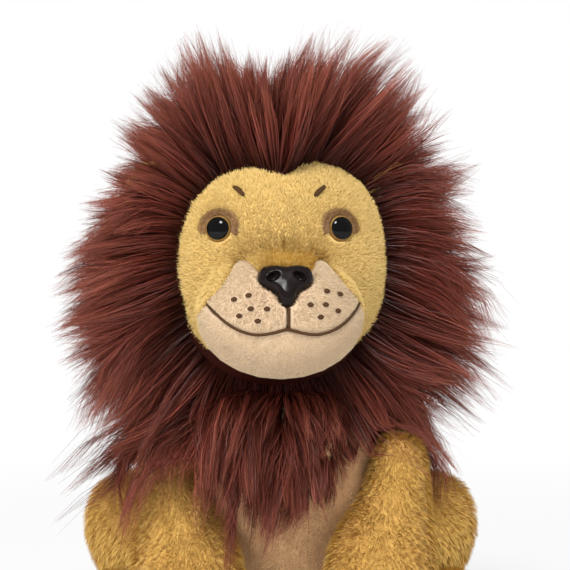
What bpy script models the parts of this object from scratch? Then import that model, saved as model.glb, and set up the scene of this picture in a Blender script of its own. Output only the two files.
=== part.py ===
"""Seated plush lion: stuffed forms, inset panels, moulded face parts and a long-pile mane.

Metres, +Z up. The lion looks along -Y, and its right-hand side in a front view is +X.
The origin is on the floor, in the middle of the seat panel.
"""

import math

import bmesh
import bpy
from mathutils import Matrix, Vector

# Fits between pieces
SEAM_GAP = 0.0003
SWING_GAP = 0.0012
FLOOR_PRESS = 0.0005
OVERRUN = 0.03
WELD = 0.000003

# Body
NECK_HEIGHT = 0.107
NECK_FORWARD = 0.025
TORSO_HALF_WIDTH = 0.049
TORSO_HALF_DEPTH = 0.052
HIP_PLANE = 0.0452
SEAT_HALF_WIDTH = 0.030
SEAT_HALF_DEPTH = 0.034
SEAT_THICKNESS = 0.0018
BAG_HALF_WIDTH = 0.022
BAG_HALF_DEPTH = 0.026
BAG_HEIGHT = 0.022
# height share, then the share of both half axes
BAG_SHARES = ((-0.14, 0.80), (0.08, 0.98), (0.45, 1.00), (0.80, 0.84), (0.96, 0.48))
BIB_THICKNESS = 0.0024
BIB_HALF_WIDTH = 0.040
BIB_TOP_DROP = 0.006
BIB_BOTTOM = 0.006
BIB_BACK = 0.022

# height share of the neck height, then width, depth and lean shares
TORSO_SHARES = (
    (-0.030, 0.30, 0.30, 0.00),
    (0.010, 0.66, 0.68, 0.00),
    (0.080, 0.84, 0.88, 0.00),
    (0.220, 0.94, 0.99, 0.04),
    (0.400, 0.96, 1.00, 0.16),
    (0.580, 0.99, 0.97, 0.42),
    (0.740, 1.00, 0.88, 0.68),
    (0.890, 0.86, 0.72, 0.88),
    (1.060, 0.62, 0.56, 1.00),
    (1.120, 0.30, 0.28, 1.00),
)
# width and height shares of the bib, from the top round to the bottom
BIB_SHARES = (
    (0.00, 1.00), (0.45, 0.985), (0.76, 0.92), (0.95, 0.82), (1.00, 0.70),
    (0.97, 0.56), (0.90, 0.40), (0.78, 0.22), (0.56, 0.06), (0.28, 0.00), (0.00, -0.01),
)

# Head
HEAD_RISE = 0.054
HEAD_ASIDE = -0.0050
HEAD_TURN = math.radians(4.0)
HEAD_HALF_HEIGHT = 0.058
HEAD_HALF_WIDTH = 0.055
HEAD_DEPTH_AHEAD = 0.052
HEAD_DEPTH_BEHIND = 0.050
# height share, then width, front and back shares
HEAD_SHARES = (
    (-0.955, 0.32, 0.32, 0.30),
    (-0.80, 0.64, 0.62, 0.60),
    (-0.52, 0.87, 0.86, 0.85),
    (-0.18, 0.995, 0.985, 0.98),
    (0.18, 1.00, 1.00, 1.00),
    (0.50, 0.90, 0.90, 0.88),
    (0.76, 0.69, 0.70, 0.68),
    (0.94, 0.37, 0.38, 0.37),
)

# Muzzle, measured from the centre of the head
MUZZLE_DROP = 0.021
MUZZLE_HALF_WIDTH = 0.0366
MUZZLE_HALF_HEIGHT = 0.0263
MUZZLE_ROOT = 0.020
MUZZLE_REACH = 0.0795
MUZZLE_TIP_RISE = 0.003
PANEL_THICKNESS = 0.0030
PANEL_BACK = 0.041
# reach share from root to tip, then width, upper and lower shares
MUZZLE_SHARES = (
    (0.04, 0.80, 1.00, 0.80),
    (0.22, 1.00, 1.16, 0.98),
    (0.48, 1.01, 1.10, 1.02),
    (0.68, 0.95, 0.98, 0.97),
    (0.84, 0.79, 0.78, 0.82),
    (0.95, 0.52, 0.50, 0.54),
)
# the mouth line from the middle to its corner, as shares of the muzzle's half width and half height
MOUTH_SHARES = (
    (0.00, -0.07), (0.16, -0.14), (0.34, -0.18), (0.53, -0.13), (0.71, 0.01), (0.86, 0.21),
    (0.92, 0.31),
)
# a muzzle pad's upper edge, from the corner of the mouth back to the middle
PAD_EDGE_SHARES = (
    (0.86, 0.41), (0.72, 0.62), (0.61, 0.82), (0.53, 0.97), (0.47, 1.03), (0.40, 0.99),
    (0.30, 0.82), (0.20, 0.62), (0.00, 0.46),
)
# the chin panel's outer edge, from the corner of the mouth down to the middle
CHIN_EDGE_SHARES = (
    (1.00, 0.06), (1.12, -0.10), (1.10, -0.70), (0.70, -1.12), (0.00, -1.25),
)

# Nose
NOSE_HALF_WIDTH = 0.0118
NOSE_LENGTH = 0.0194
NOSE_BULGE = 0.0085
NOSE_TILT = math.radians(28)
NOSE_SETBACK = 0.0095
NOSE_SEAT_DROP = 0.0062
NOSTRIL_HALF_WIDTH = 0.0034
NOSTRIL_HALF_HEIGHT = 0.0021
NOSTRIL_DEPTH = 0.0034
NOSTRIL_LEAN = math.radians(34)
# place of a nostril: shares of the nose's half width, bulge and length
NOSTRIL_PLACE_SHARES = (0.50, 0.92, 0.14)
# half outline, from the middle of the top edge down to the tip
NOSE_OUTLINE_SHARES = (
    (0.00, -0.04), (0.20, -0.02), (0.42, 0.00), (0.66, -0.01), (0.86, -0.06), (0.97, -0.16),
    (1.00, -0.30), (0.94, -0.44), (0.76, -0.56), (0.54, -0.65), (0.38, -0.74), (0.30, -0.86),
    (0.18, -0.96), (0.00, -1.00),
)
# outline share and bulge share of each step towards the front
NOSE_STEP_SHARES = ((1.00, 0.00), (1.03, 0.30), (0.97, 0.60), (0.82, 0.84), (0.56, 0.97))

# Safety eyes
EYE_RADIUS = 0.0060
EYE_HEIGHT = 0.0046
EYE_RIM = 0.0010
EYE_SPREAD = 0.0272
EYE_RISE = 0.0198
EYE_SINK = 0.0014
EYE_AIM_SHARES = (0.30, -0.94, 0.15)
EYE_DOME_STEPS = 5
PATCH_THICKNESS = 0.0009
# right eye's patch about the eye's middle, as shares of the eye's radius
PATCH_SHARES = (
    (-1.42, 0.44), (-1.28, 1.00), (-0.74, 1.46), (0.04, 1.58), (0.80, 1.34), (1.34, 0.80),
    (1.62, 0.02), (1.30, -0.40), (0.70, -0.20), (-0.70, -0.20), (-1.26, -0.46),
)

# Posts and washers behind the eyes and the nose
POST_RADIUS = 0.0014
POST_LENGTH = 0.0090
WASHER_RADIUS = 0.0050
WASHER_THICKNESS = 0.0012
WASHER_DEPTH = 0.0045

# Ears
EAR_SPREAD = 0.0545
EAR_RISE = 0.0350
EAR_FORWARD = 0.0060
EAR_HALF_WIDTH = 0.0145
EAR_HALF_HEIGHT = 0.0155
EAR_HALF_THICKNESS = 0.0045
EAR_TURN = math.radians(24)
EAR_DISH_SHARE = 0.76
EAR_DISH_DEPTH = 0.0026

# Mane on the head, measured from its own centre ahead of the head
MANE_RISE = 0.0060
MANE_RADIUS = 0.0840
MANE_BACK_SPLIT = 0.0170
MANE_LOCKS = 22
MANE_EAR_SPLIT = math.radians(62)
MANE_CHIN_SPLIT = math.radians(150)
PARTING_SHARE = 0.15
PARTING_HALF_ANGLE = math.radians(9)
# spread share, distance behind the head's centre in shares of the spread, lock reach share
MANE_SHARES = (
    (0.38, -0.06, 0.00),
    (0.56, -0.29, 0.00),
    (0.76, -0.37, 0.05),
    (0.99, -0.24, 0.20),
    (1.03, -0.01, 0.16),
    (0.94, 0.23, 0.11),
    (0.78, 0.44, 0.10),
    (0.56, 0.64, 0.10),
    (0.30, 0.77, 0.08),
)
MANE_BACK_SHARE = 0.82

# Ruff over the chest and shoulders
RUFF_HALF_WIDTH = 0.0800
RUFF_FRONT = 0.0960
RUFF_BACK = 0.0540
RUFF_LOCKS = 16
RUFF_LENGTH = 0.0530
LEG_ROOM_TOP = 0.0090
# height share from the ruff's bottom to the neck, then width, front, back and lock reach shares
RUFF_SHARES = (
    (1.12, 0.94, 0.92, 0.90, 0.00),
    (0.94, 1.02, 1.00, 1.00, 0.07),
    (0.74, 0.96, 1.00, 0.99, 0.08),
    (0.54, 0.86, 0.97, 0.93, 0.08),
    (0.30, 0.66, 0.92, 0.78, 0.10),
    (0.06, 0.34, 0.86, 0.42, 0.12),
)

# Front legs: the shoulder's axis runs across the body
SHOULDER_DROP = 0.037
SHOULDER_FORWARD = 0.042
SHOULDER_RADIUS = 0.020
SHOULDER_SPREAD = 0.052
FORELEG_LIFT = 25
FORELEG_SWING_STEPS = 4
FORELEG_HALF_WIDTH = 0.026
FORELEG_HALF_DEPTH = 0.027
FORELEG_REACH = 0.036
PAW_SPREAD = 0.0425
# turn of each shoulder ring from the top, and its width share
SHOULDER_RINGS = ((22, 0.30), (48, 0.44), (74, 0.52))
# height share of the shoulder axis, spread share, reach share, then width and depth shares
FORELEG_SHARES = (
    (0.88, 0.90, 0.06, 0.58, 0.75),
    (0.67, 0.28, 0.36, 0.86, 0.82),
    (0.50, 0.04, 0.58, 0.96, 0.86),
    (0.30, 0.00, 0.82, 0.98, 0.94),
    (0.12, 0.00, 0.98, 1.00, 1.00),
    (0.010, 0.00, 1.00, 0.84, 0.84),
)

# Haunches and hind feet
HIP_AXIS_BACK = 0.008
HIP_AXIS_HEIGHT = 0.034
HAUNCH_REACH = 0.0920
HAUNCH_HALF_DEPTH = 0.040
HAUNCH_HALF_HEIGHT = 0.0325
HAUNCH_BULGE_RISE = 0.009
HAUNCH_ROOT_SHARE = -0.21
# share of the way out, then depth, height and rise shares
HAUNCH_SHARES = (
    (-0.16, 0.62, 0.62, 0.0),
    (-0.06, 0.97, 0.98, 0.0),
    (0.28, 1.00, 1.02, 0.0),
    (0.55, 0.92, 0.94, 0.25),
    (0.78, 0.72, 0.75, 0.60),
    (0.93, 0.42, 0.44, 0.90),
)
FOOT_LENGTH = 0.064
FOOT_HEEL_SPREAD = 0.066
FOOT_TOE_SPREAD = 0.0810
FOOT_HEEL_BACK = 0.010
FOOT_HALF_WIDTH = 0.0160
FOOT_HALF_HEIGHT = 0.0125
# length share, then width and height shares
FOOT_SHARES = (
    (0.04, 0.60, 0.70), (0.20, 0.88, 0.94), (0.52, 0.94, 0.90), (0.78, 1.02, 1.02), (0.95, 0.70, 0.70),
)

# Tail, laid towards the floor behind the lion
TAIL_RADIUS = 0.0062
TAIL_BALL_RADIUS = 0.0080
TAIL_ROOT_HEIGHT = 0.0155
TAIL_ROOT_BACK = 0.0500
TAIL_LENGTH = 0.085
TUFT_LENGTH = 0.046
TUFT_RADIUS = 0.0130
TUFT_LOCKS = 5
TUFT_FLATNESS_SHARE = 0.8
# sideways and backward shares of the tail's length, with its height as a share of the root's height
TAIL_PATH_SHARES = (
    (0.01, 0.10, 0.88), (0.05, 0.26, 0.62), (0.16, 0.44, 0.46), (0.34, 0.57, 0.42), (0.49, 0.63, 0.42),
    (0.56, 0.65, 0.42),
)
# length share, then radius and lock reach shares
TUFT_SHARES = (
    (-0.20, 0.60, 0.00), (0.10, 0.86, 0.10), (0.36, 1.00, 0.16), (0.64, 0.76, 0.20), (0.86, 0.38, 0.20),
)

# Facets: of the stuffed forms before they are rounded, and of turned pieces
SEAT_SIDES = 28
BAG_SIDES = 10
BALL_STEPS = 7
TURNED_SIDES = 16
TORSO_SIDES = 12
HEAD_SIDES = 12
LIMB_SIDES = 10
FOOT_SIDES = 8
TAIL_SIDES = 6

# Colours
TAN = (0.62, 0.40, 0.12)
CREAM = (0.78, 0.62, 0.42)
MANE_BROWN = (0.10, 0.028, 0.022)
PATCH_BROWN = (0.16, 0.09, 0.045)
NOSE_BROWN = (0.022, 0.014, 0.014)
EYE_BLACK = (0.006, 0.005, 0.005)
WASHER_WHITE = (0.70, 0.70, 0.68)
BAG_GREY = (0.50, 0.49, 0.46)

HEAD_CENTRE = Vector((0, -NECK_FORWARD, NECK_HEIGHT + HEAD_RISE))
MUZZLE_CENTRE = HEAD_CENTRE + Vector((0, 0, -MUZZLE_DROP))
MANE_CENTRE = HEAD_CENTRE + Vector((0, 0, MANE_RISE))
SHOULDER_AXIS = Vector((0, -SHOULDER_FORWARD, NECK_HEIGHT - SHOULDER_DROP))
HIP_AXIS = Vector((0, HIP_AXIS_BACK, HIP_AXIS_HEIGHT))
TAIL_ROOT = Vector((0, TAIL_ROOT_BACK, TAIL_ROOT_HEIGHT))
SIDES = (("left", -1), ("right", 1))


# Scene and materials


def clear_scene():
    for piece in list(bpy.data.objects):
        bpy.data.objects.remove(piece, do_unlink=True)


def finish(name, colour, roughness, metallic=0):
    made = bpy.data.materials.new(name)
    made.use_nodes = True
    shader = made.node_tree.nodes["Principled BSDF"]
    shader.inputs["Base Color"].default_value = (*colour, 1)
    shader.inputs["Roughness"].default_value = roughness
    shader.inputs["Metallic"].default_value = metallic
    made.diffuse_color = (*colour, 1)
    return made


def make_finishes():
    return {
        "tan": finish("tan_plush", TAN, 0.95),
        "cream": finish("cream_velboa", CREAM, 0.9),
        "mane": finish("mane_pile", MANE_BROWN, 0.7),
        "patch": finish("brown_velboa", PATCH_BROWN, 0.9),
        "nose": finish("moulded_nose", NOSE_BROWN, 0.3),
        "eye": finish("glossy_eye", EYE_BLACK, 0.05),
        "washer": finish("washer_plastic", WASHER_WHITE, 0.5),
        "bag": finish("pellet_bag_cloth", BAG_GREY, 0.95),
    }


# Building blocks


def placed(name, shape, material=None):
    """An object of a finished bmesh, its faces turned outwards."""
    bmesh.ops.recalc_face_normals(shape, faces=shape.faces)
    mesh = bpy.data.meshes.new(name)
    shape.to_mesh(mesh)
    shape.free()
    mesh.shade_smooth()
    piece = bpy.data.objects.new(name, mesh)
    bpy.context.scene.collection.objects.link(piece)
    if material:
        mesh.materials.append(material)
    return piece


def helper(piece):
    """A form or a cutter that shapes other pieces and isn't one itself."""
    piece.hide_render = True
    piece.display_type = "WIRE"
    return piece


def rounded(piece, levels=1):
    smooth = piece.modifiers.new("rounding", "SUBSURF")
    smooth.levels = levels
    smooth.render_levels = levels
    piece.modifiers.new("facets", "TRIANGULATE")
    return piece


def loft(name, sections, sides, first, last, material=None):
    """Rings of points bridged into a closed form between two end points.

    A section is its centre and two half axes.
    """
    rounding = 6 / (4 + 2 * math.cos(2 * math.pi / sides))
    shape = bmesh.new()
    rings = []
    for centre, across, along in sections:
        turns = [2 * math.pi * n / sides for n in range(sides)]
        rings.append([
            shape.verts.new(centre + rounding * (across * math.cos(t) + along * math.sin(t)))
            for t in turns
        ])
    bridge_rings(shape, rings, first, last)
    return rounded(placed(name, shape, material))


def bridge_rings(shape, rings, first, last):
    for lower, upper in zip(rings, rings[1:]):
        for n in range(len(lower)):
            after = (n + 1) % len(lower)
            shape.faces.new((lower[n], lower[after], upper[after], upper[n]))
    for point, ring in ((first, rings[0]), (last, rings[-1])):
        tip = shape.verts.new(point)
        for n in range(len(ring)):
            shape.faces.new((tip, ring[n], ring[(n + 1) % len(ring)]))


def lock_form(name, sections, locks, first, last, spread=None):
    """A form of long pile, whose locks stand out from every second point of a ring.

    A section is its centre, two half axes, the share that its tips stand out and how they are combed.
    """
    shape = bmesh.new()
    rings = []
    for row, (centre, across, along, reach, comb) in enumerate(sections):
        ring = []
        for n in range(2 * locks):
            turn = math.pi * (n + 0.5) / locks
            size = spread(turn) if spread else 1
            point = (across * math.cos(turn) + along * math.sin(turn)) * size
            if reach and (row + n) % 2 == 0:
                point = point * (1 + reach) + comb
            ring.append(shape.verts.new(centre + point))
        rings.append(ring)
    bridge_rings(shape, rings, first, last)
    bmesh.ops.triangulate(shape, faces=shape.faces)
    return placed(name, shape)


def turned(name, profile, steps, material=None):
    """A round piece turned about its own Z axis from a profile of (radius, height) points."""
    shape = bmesh.new()
    points = [shape.verts.new((radius, 0, height)) for radius, height in profile]
    edges = [shape.edges.new(pair) for pair in zip(points, points[1:])]
    bmesh.ops.spin(
        shape, geom=points + edges, axis=(0, 0, 1), cent=(0, 0, 0), steps=steps, angle=2 * math.pi
    )
    bmesh.ops.remove_doubles(shape, verts=shape.verts, dist=WELD)
    return placed(name, shape, material)


def prism(name, outline, near, far, frame=Matrix.Identity(4), material=None):
    """An outline of (x, z) points carried along Y from near to far."""
    shape = bmesh.new()
    face = shape.faces.new([shape.verts.new((x, near, z)) for x, z in outline])
    swept = bmesh.ops.extrude_face_region(shape, geom=[face])
    moved = [item for item in swept["geom"] if isinstance(item, bmesh.types.BMVert)]
    bmesh.ops.translate(shape, verts=moved, vec=(0, far - near, 0))
    bmesh.ops.transform(shape, matrix=frame, verts=shape.verts)
    return placed(name, shape, material)


def block(name, low, high):
    outline = ((low[0], low[2]), (high[0], low[2]), (high[0], high[2]), (low[0], high[2]))
    return helper(prism(name, outline, low[1], high[1]))


def grown(outline, gap):
    """The outline moved outwards by a gap."""
    area = sum(a[0] * b[1] - b[0] * a[1] for a, b in zip(outline, outline[1:] + outline[:1]))
    way = math.copysign(1, area)
    moved = []
    for before, here, after in zip(outline[-1:] + outline[:-1], outline, outline[1:] + outline[:1]):
        into = (Vector(here) - Vector(before)).normalized()
        out = (Vector(after) - Vector(here)).normalized()
        normal = Vector((into.y + out.y, -into.x - out.x)) * way
        lean = max(1 + into.dot(out), 0.4)
        moved.append(tuple(Vector(here) + normal / lean * gap))
    return moved


def mirrored(half):
    """A half outline that starts and ends on the middle line, closed by its mirror image."""
    return list(half) + [(-x, z) for x, z in reversed(half) if abs(x) > SEAM_GAP / 2]


def sized(shares, width, height):
    return [(x * width, z * height) for x, z in shares]


def copy_of(form, name, growth=0.0):
    """A second object of a form's mesh and rounding, grown or shrunk by a clearance."""
    twin = bpy.data.objects.new(name, form.data)
    twin.matrix_world = form.matrix_world.copy()
    bpy.context.scene.collection.objects.link(twin)
    if "rounding" in form.modifiers:
        rounded(twin, form.modifiers["rounding"].levels)
    if growth:
        grow = twin.modifiers.new("clearance", "DISPLACE")
        grow.strength = growth
        grow.mid_level = 0
    return twin


def grown_copy(form, name, growth):
    return helper(copy_of(form, name, growth))


def combine(piece, other, operation):
    step = piece.modifiers.new(f"{operation.lower()}_{other.name}"[:60], "BOOLEAN")
    step.operation = operation
    step.object = other
    step.solver = "EXACT"


def cut(piece, *tools):
    for tool in tools:
        combine(piece, tool, "DIFFERENCE")


def inset_panel(name, form, outline, near, far, centre, thickness, material):
    """A panel sewn flush into a form. Returns the panel, and the cutter of the recess that it lies in."""
    frame = Matrix.Translation(centre)
    panel = prism(name, outline, near, far, frame, material)
    combine(panel, helper(copy_of(form, f"{name}_face")), "INTERSECT")
    cut(panel, grown_copy(form, f"{name}_back", -thickness))
    room = helper(prism(f"{name}_room", grown(outline, SEAM_GAP), near, far + SEAM_GAP, frame))
    cut(room, grown_copy(form, f"{name}_bed", -thickness - SEAM_GAP))
    return panel, room


def hang(pivot_name, point, pieces):
    """Puts a body's pieces under an empty on its joint's axis."""
    pivot = bpy.data.objects.new(pivot_name, None)
    pivot.location = point
    bpy.context.scene.collection.objects.link(pivot)
    for piece in pieces:
        piece.parent = pivot
        piece.matrix_parent_inverse = Matrix.Translation(point).inverted()
    return pivot


# Forms: the plain stuffed shapes that the pieces are cut from


def torso_form():
    sections = [
        (
            Vector((0, -NECK_FORWARD * lean, NECK_HEIGHT * height)),
            Vector((TORSO_HALF_WIDTH * wide, 0, 0)),
            Vector((0, TORSO_HALF_DEPTH * deep, 0)),
        )
        for height, wide, deep, lean in TORSO_SHARES
    ]
    return helper(loft("torso_form", sections, TORSO_SIDES, sections[0][0], sections[-1][0]))


def head_form():
    sections = []
    for height, wide, front, back in HEAD_SHARES:
        ahead, behind = HEAD_DEPTH_AHEAD * front, HEAD_DEPTH_BEHIND * back
        centre = HEAD_CENTRE + Vector((0, (behind - ahead) / 2, HEAD_HALF_HEIGHT * height))
        sections.append((
            centre, Vector((HEAD_HALF_WIDTH * wide, 0, 0)), Vector((0, (ahead + behind) / 2, 0)),
        ))
    low, high = (HEAD_CENTRE + Vector((0, 0, way * HEAD_HALF_HEIGHT)) for way in (-1, 1))
    return helper(loft("head_form", sections, HEAD_SIDES, low, high))


def muzzle_form():
    sections = []
    for share, wide, upper, lower in MUZZLE_SHARES:
        reach = MUZZLE_ROOT + (MUZZLE_REACH - MUZZLE_ROOT) * share
        above, below = MUZZLE_HALF_HEIGHT * upper, MUZZLE_HALF_HEIGHT * lower
        centre = MUZZLE_CENTRE + Vector((0, -reach, (above - below) / 2 + MUZZLE_TIP_RISE * share))
        sections.append((
            centre, Vector((MUZZLE_HALF_WIDTH * wide, 0, 0)), Vector((0, 0, (above + below) / 2)),
        ))
    root = MUZZLE_CENTRE + Vector((0, -MUZZLE_ROOT, 0))
    tip = MUZZLE_CENTRE + Vector((0, -MUZZLE_REACH, MUZZLE_TIP_RISE))
    return helper(loft("muzzle_form", sections, HEAD_SIDES, root, tip))


def mane_spread(turn):
    """The parting: the pile lies lower beside the middle of the crown."""
    from_top = abs((turn - math.pi / 2 + math.pi) % (2 * math.pi) - math.pi)
    return 1 - PARTING_SHARE * math.exp(-((from_top / PARTING_HALF_ANGLE) ** 2))


def mane_form():
    sections = []
    for spread, back, reach in MANE_SHARES:
        size = MANE_RADIUS * spread
        sections.append((
            MANE_CENTRE + Vector((0, MANE_RADIUS * back, 0)),
            Vector((size, 0, 0)),
            Vector((0, 0, size)),
            reach,
            Vector((0, size * reach / 2, 0)),
        ))
    front = sections[0][0]
    back = MANE_CENTRE + Vector((0, MANE_RADIUS * MANE_BACK_SHARE, 0))
    return helper(lock_form("mane_form", sections, MANE_LOCKS, front, back, mane_spread))


def ruff_form():
    sections = []
    bottom = NECK_HEIGHT - RUFF_LENGTH
    for height, wide, front, back, reach in RUFF_SHARES:
        ahead, behind = RUFF_FRONT * front, RUFF_BACK * back
        sections.append((
            Vector((0, (behind - ahead) / 2, bottom + RUFF_LENGTH * height)),
            Vector((RUFF_HALF_WIDTH * wide, 0, 0)),
            Vector((0, (ahead + behind) / 2, 0)),
            reach,
            Vector((0, 0, -RUFF_LENGTH * reach)),
        ))
    top, low = sections[0][0], sections[-1][0]
    inner = Vector((0, -NECK_FORWARD, low.z + RUFF_LENGTH * RUFF_SHARES[-1][0]))
    return helper(lock_form("ruff_form", sections, RUFF_LOCKS, top, inner))


def foreleg_sections(side):
    sections = []
    for degrees, wide in SHOULDER_RINGS:
        turn = math.radians(degrees)
        sections.append((
            SHOULDER_AXIS + Vector((side * SHOULDER_SPREAD, 0, SHOULDER_RADIUS * math.cos(turn))),
            Vector((FORELEG_HALF_WIDTH * wide, 0, 0)),
            Vector((0, SHOULDER_RADIUS * math.sin(turn), 0)),
        ))
    for height, out, reach, wide, deep in FORELEG_SHARES:
        spread = PAW_SPREAD + (SHOULDER_SPREAD - PAW_SPREAD) * out
        sections.append((
            Vector((side * spread, -SHOULDER_FORWARD - FORELEG_REACH * reach, SHOULDER_AXIS.z * height)),
            Vector((FORELEG_HALF_WIDTH * wide, 0, 0)),
            Vector((0, FORELEG_HALF_DEPTH * deep, 0)),
        ))
    return sections


def haunch_sections(side):
    sections = []
    for share, deep, high, rise in HAUNCH_SHARES:
        out = HIP_PLANE + (HAUNCH_REACH - HIP_PLANE) * share
        sections.append((
            HIP_AXIS + Vector((side * out, 0, HAUNCH_BULGE_RISE * rise)),
            Vector((0, HAUNCH_HALF_DEPTH * deep, 0)),
            Vector((0, 0, HAUNCH_HALF_HEIGHT * high)),
        ))
    return sections


def foot_sections(side):
    heel = Vector((side * FOOT_HEEL_SPREAD, FOOT_HEEL_BACK, FOOT_HALF_HEIGHT))
    lean = side * (FOOT_TOE_SPREAD - FOOT_HEEL_SPREAD)
    sections = []
    for share, wide, high in FOOT_SHARES:
        sections.append((
            heel + Vector((lean * share, -FOOT_LENGTH * share, 0)),
            Vector((FOOT_HALF_WIDTH * wide, 0, 0)),
            Vector((0, 0, (FOOT_HALF_HEIGHT + FLOOR_PRESS) * high)),
        ))
    toe = heel + Vector((lean, -FOOT_LENGTH, 0))
    return sections, heel, toe


# Pieces


def make_torso(form, bib_room, bag_room, finishes):
    torso = copy_of(form, "torso")
    torso.data.materials.clear()
    torso.data.materials.append(finishes["tan"])
    wide = TORSO_HALF_WIDTH + OVERRUN
    long = TORSO_HALF_DEPTH + NECK_FORWARD + OVERRUN
    cut(
        torso,
        block("under_torso", (-wide, -long, -OVERRUN), (wide, long, SEAT_THICKNESS + SEAM_GAP)),
        block("over_neck", (-wide, -long, NECK_HEIGHT), (wide, long, NECK_HEIGHT + OVERRUN)),
        bib_room,
        bag_room,
    )
    front = HIP_AXIS.y - HAUNCH_HALF_DEPTH - SWING_GAP
    top = HIP_AXIS.z + HAUNCH_HALF_HEIGHT
    for name, side in SIDES:
        ends = sorted((side * HIP_PLANE, side * wide))
        cut(torso, block(f"hip_seat_{name}", (ends[0], front, -OVERRUN), (ends[1], long, top)))
    room = TAIL_BALL_RADIUS + SEAM_GAP
    cut(torso, helper(ball("tail_socket", room, room, room, Matrix.Translation(TAIL_ROOT))))


def make_bib(form, finishes):
    """The panel on the chest and belly. Returns the cutter of its recess."""
    height = NECK_HEIGHT - BIB_TOP_DROP - BIB_BOTTOM
    outline = mirrored([(x * BIB_HALF_WIDTH, BIB_BOTTOM + z * height) for x, z in BIB_SHARES])
    near = -TORSO_HALF_DEPTH - NECK_FORWARD - OVERRUN
    _, room = inset_panel(
        "chest_bib", form, outline, near, -BIB_BACK, Vector((0, 0, 0)), BIB_THICKNESS, finishes["cream"]
    )
    return room


def make_seat(finishes):
    """The seat panel, and the pellet bag above it. Returns the cutter of the bag's pocket."""
    turns = [2 * math.pi * n / SEAT_SIDES for n in range(SEAT_SIDES)]
    outline = [(SEAT_HALF_WIDTH * math.cos(t), SEAT_HALF_DEPTH * math.sin(t)) for t in turns]
    upright = Matrix.Rotation(-math.pi / 2, 4, "X")
    prism("seat_panel", outline, -SEAT_THICKNESS, 0, upright, finishes["tan"])

    floor = SEAT_THICKNESS + 2 * SEAM_GAP
    sections = [
        (
            Vector((0, 0, floor + BAG_HEIGHT * up)),
            Vector((BAG_HALF_WIDTH * out, 0, 0)),
            Vector((0, BAG_HALF_DEPTH * out, 0)),
        )
        for up, out in BAG_SHARES
    ]
    top = Vector((0, 0, floor + BAG_HEIGHT))
    bag = loft("pellet_bag", sections, BAG_SIDES, sections[0][0], top, finishes["bag"])
    wide = BAG_HALF_WIDTH + OVERRUN
    room = grown_copy(bag, "pellet_bag_room", SEAM_GAP)
    centre, across, along = sections[1]
    mouth = helper(loft("pellet_bag_mouth", [
        (centre, across, along),
        (centre - Vector((0, 0, BAG_HEIGHT / 2)), across, along),
    ], BAG_SIDES, centre + Vector((0, 0, BAG_HEIGHT / 4)), Vector((0, 0, -BAG_HEIGHT))))
    combine(room, mouth, "UNION")
    cut(bag, block("under_bag", (-wide, -wide, -OVERRUN), (wide, wide, floor)))
    return room


def muzzle_panels(form, finishes):
    """The two muzzle pads and the chin, and the cutter of the recess that they share."""
    width, height = MUZZLE_HALF_WIDTH, MUZZLE_HALF_HEIGHT
    mouth = sized(MOUTH_SHARES, width, height)
    pad_edge = sized(PAD_EDGE_SHARES, width, height)
    chin_edge = sized(CHIN_EDGE_SHARES, width, height)
    near = -MUZZLE_REACH - OVERRUN
    chin_half = [(x, z - SEAM_GAP) for x, z in mouth] + chin_edge
    pieces = []
    chin, _ = inset_panel(
        "chin", form, mirrored(chin_half), near, -PANEL_BACK, MUZZLE_CENTRE, PANEL_THICKNESS,
        finishes["cream"],
    )
    pieces.append(chin)
    for name, side in SIDES:
        outline = [(side * max(x, SEAM_GAP / 2), z) for x, z in mouth + pad_edge]
        pad, _ = inset_panel(
            f"muzzle_pad_{name}", form, outline, near, -PANEL_BACK, MUZZLE_CENTRE, PANEL_THICKNESS,
            finishes["cream"],
        )
        pieces.append(pad)
    whole = mirrored(list(reversed(pad_edge)) + [mouth[-1]] + chin_edge)
    frame = Matrix.Translation(MUZZLE_CENTRE)
    room = helper(prism("muzzle_room", grown(whole, SEAM_GAP), near, -PANEL_BACK + SEAM_GAP, frame))
    cut(room, grown_copy(form, "muzzle_bed", -PANEL_THICKNESS - SEAM_GAP))
    return pieces, room


def nose_frame():
    """Places a piece made about the nose's seat, with its own -Y axis pointing out of the seat."""
    seat = HEAD_CENTRE + Vector((0, NOSE_SETBACK - MUZZLE_REACH, -NOSE_SEAT_DROP))
    return Matrix.Translation(seat) @ Matrix.Rotation(-NOSE_TILT, 4, "X")


def nose_outline(growth=0.0):
    rise = NOSE_LENGTH / 2
    half = [(x * NOSE_HALF_WIDTH, rise + z * NOSE_LENGTH) for x, z in NOSE_OUTLINE_SHARES]
    outline = mirrored(half)
    return grown(outline, growth) if growth else outline


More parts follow.
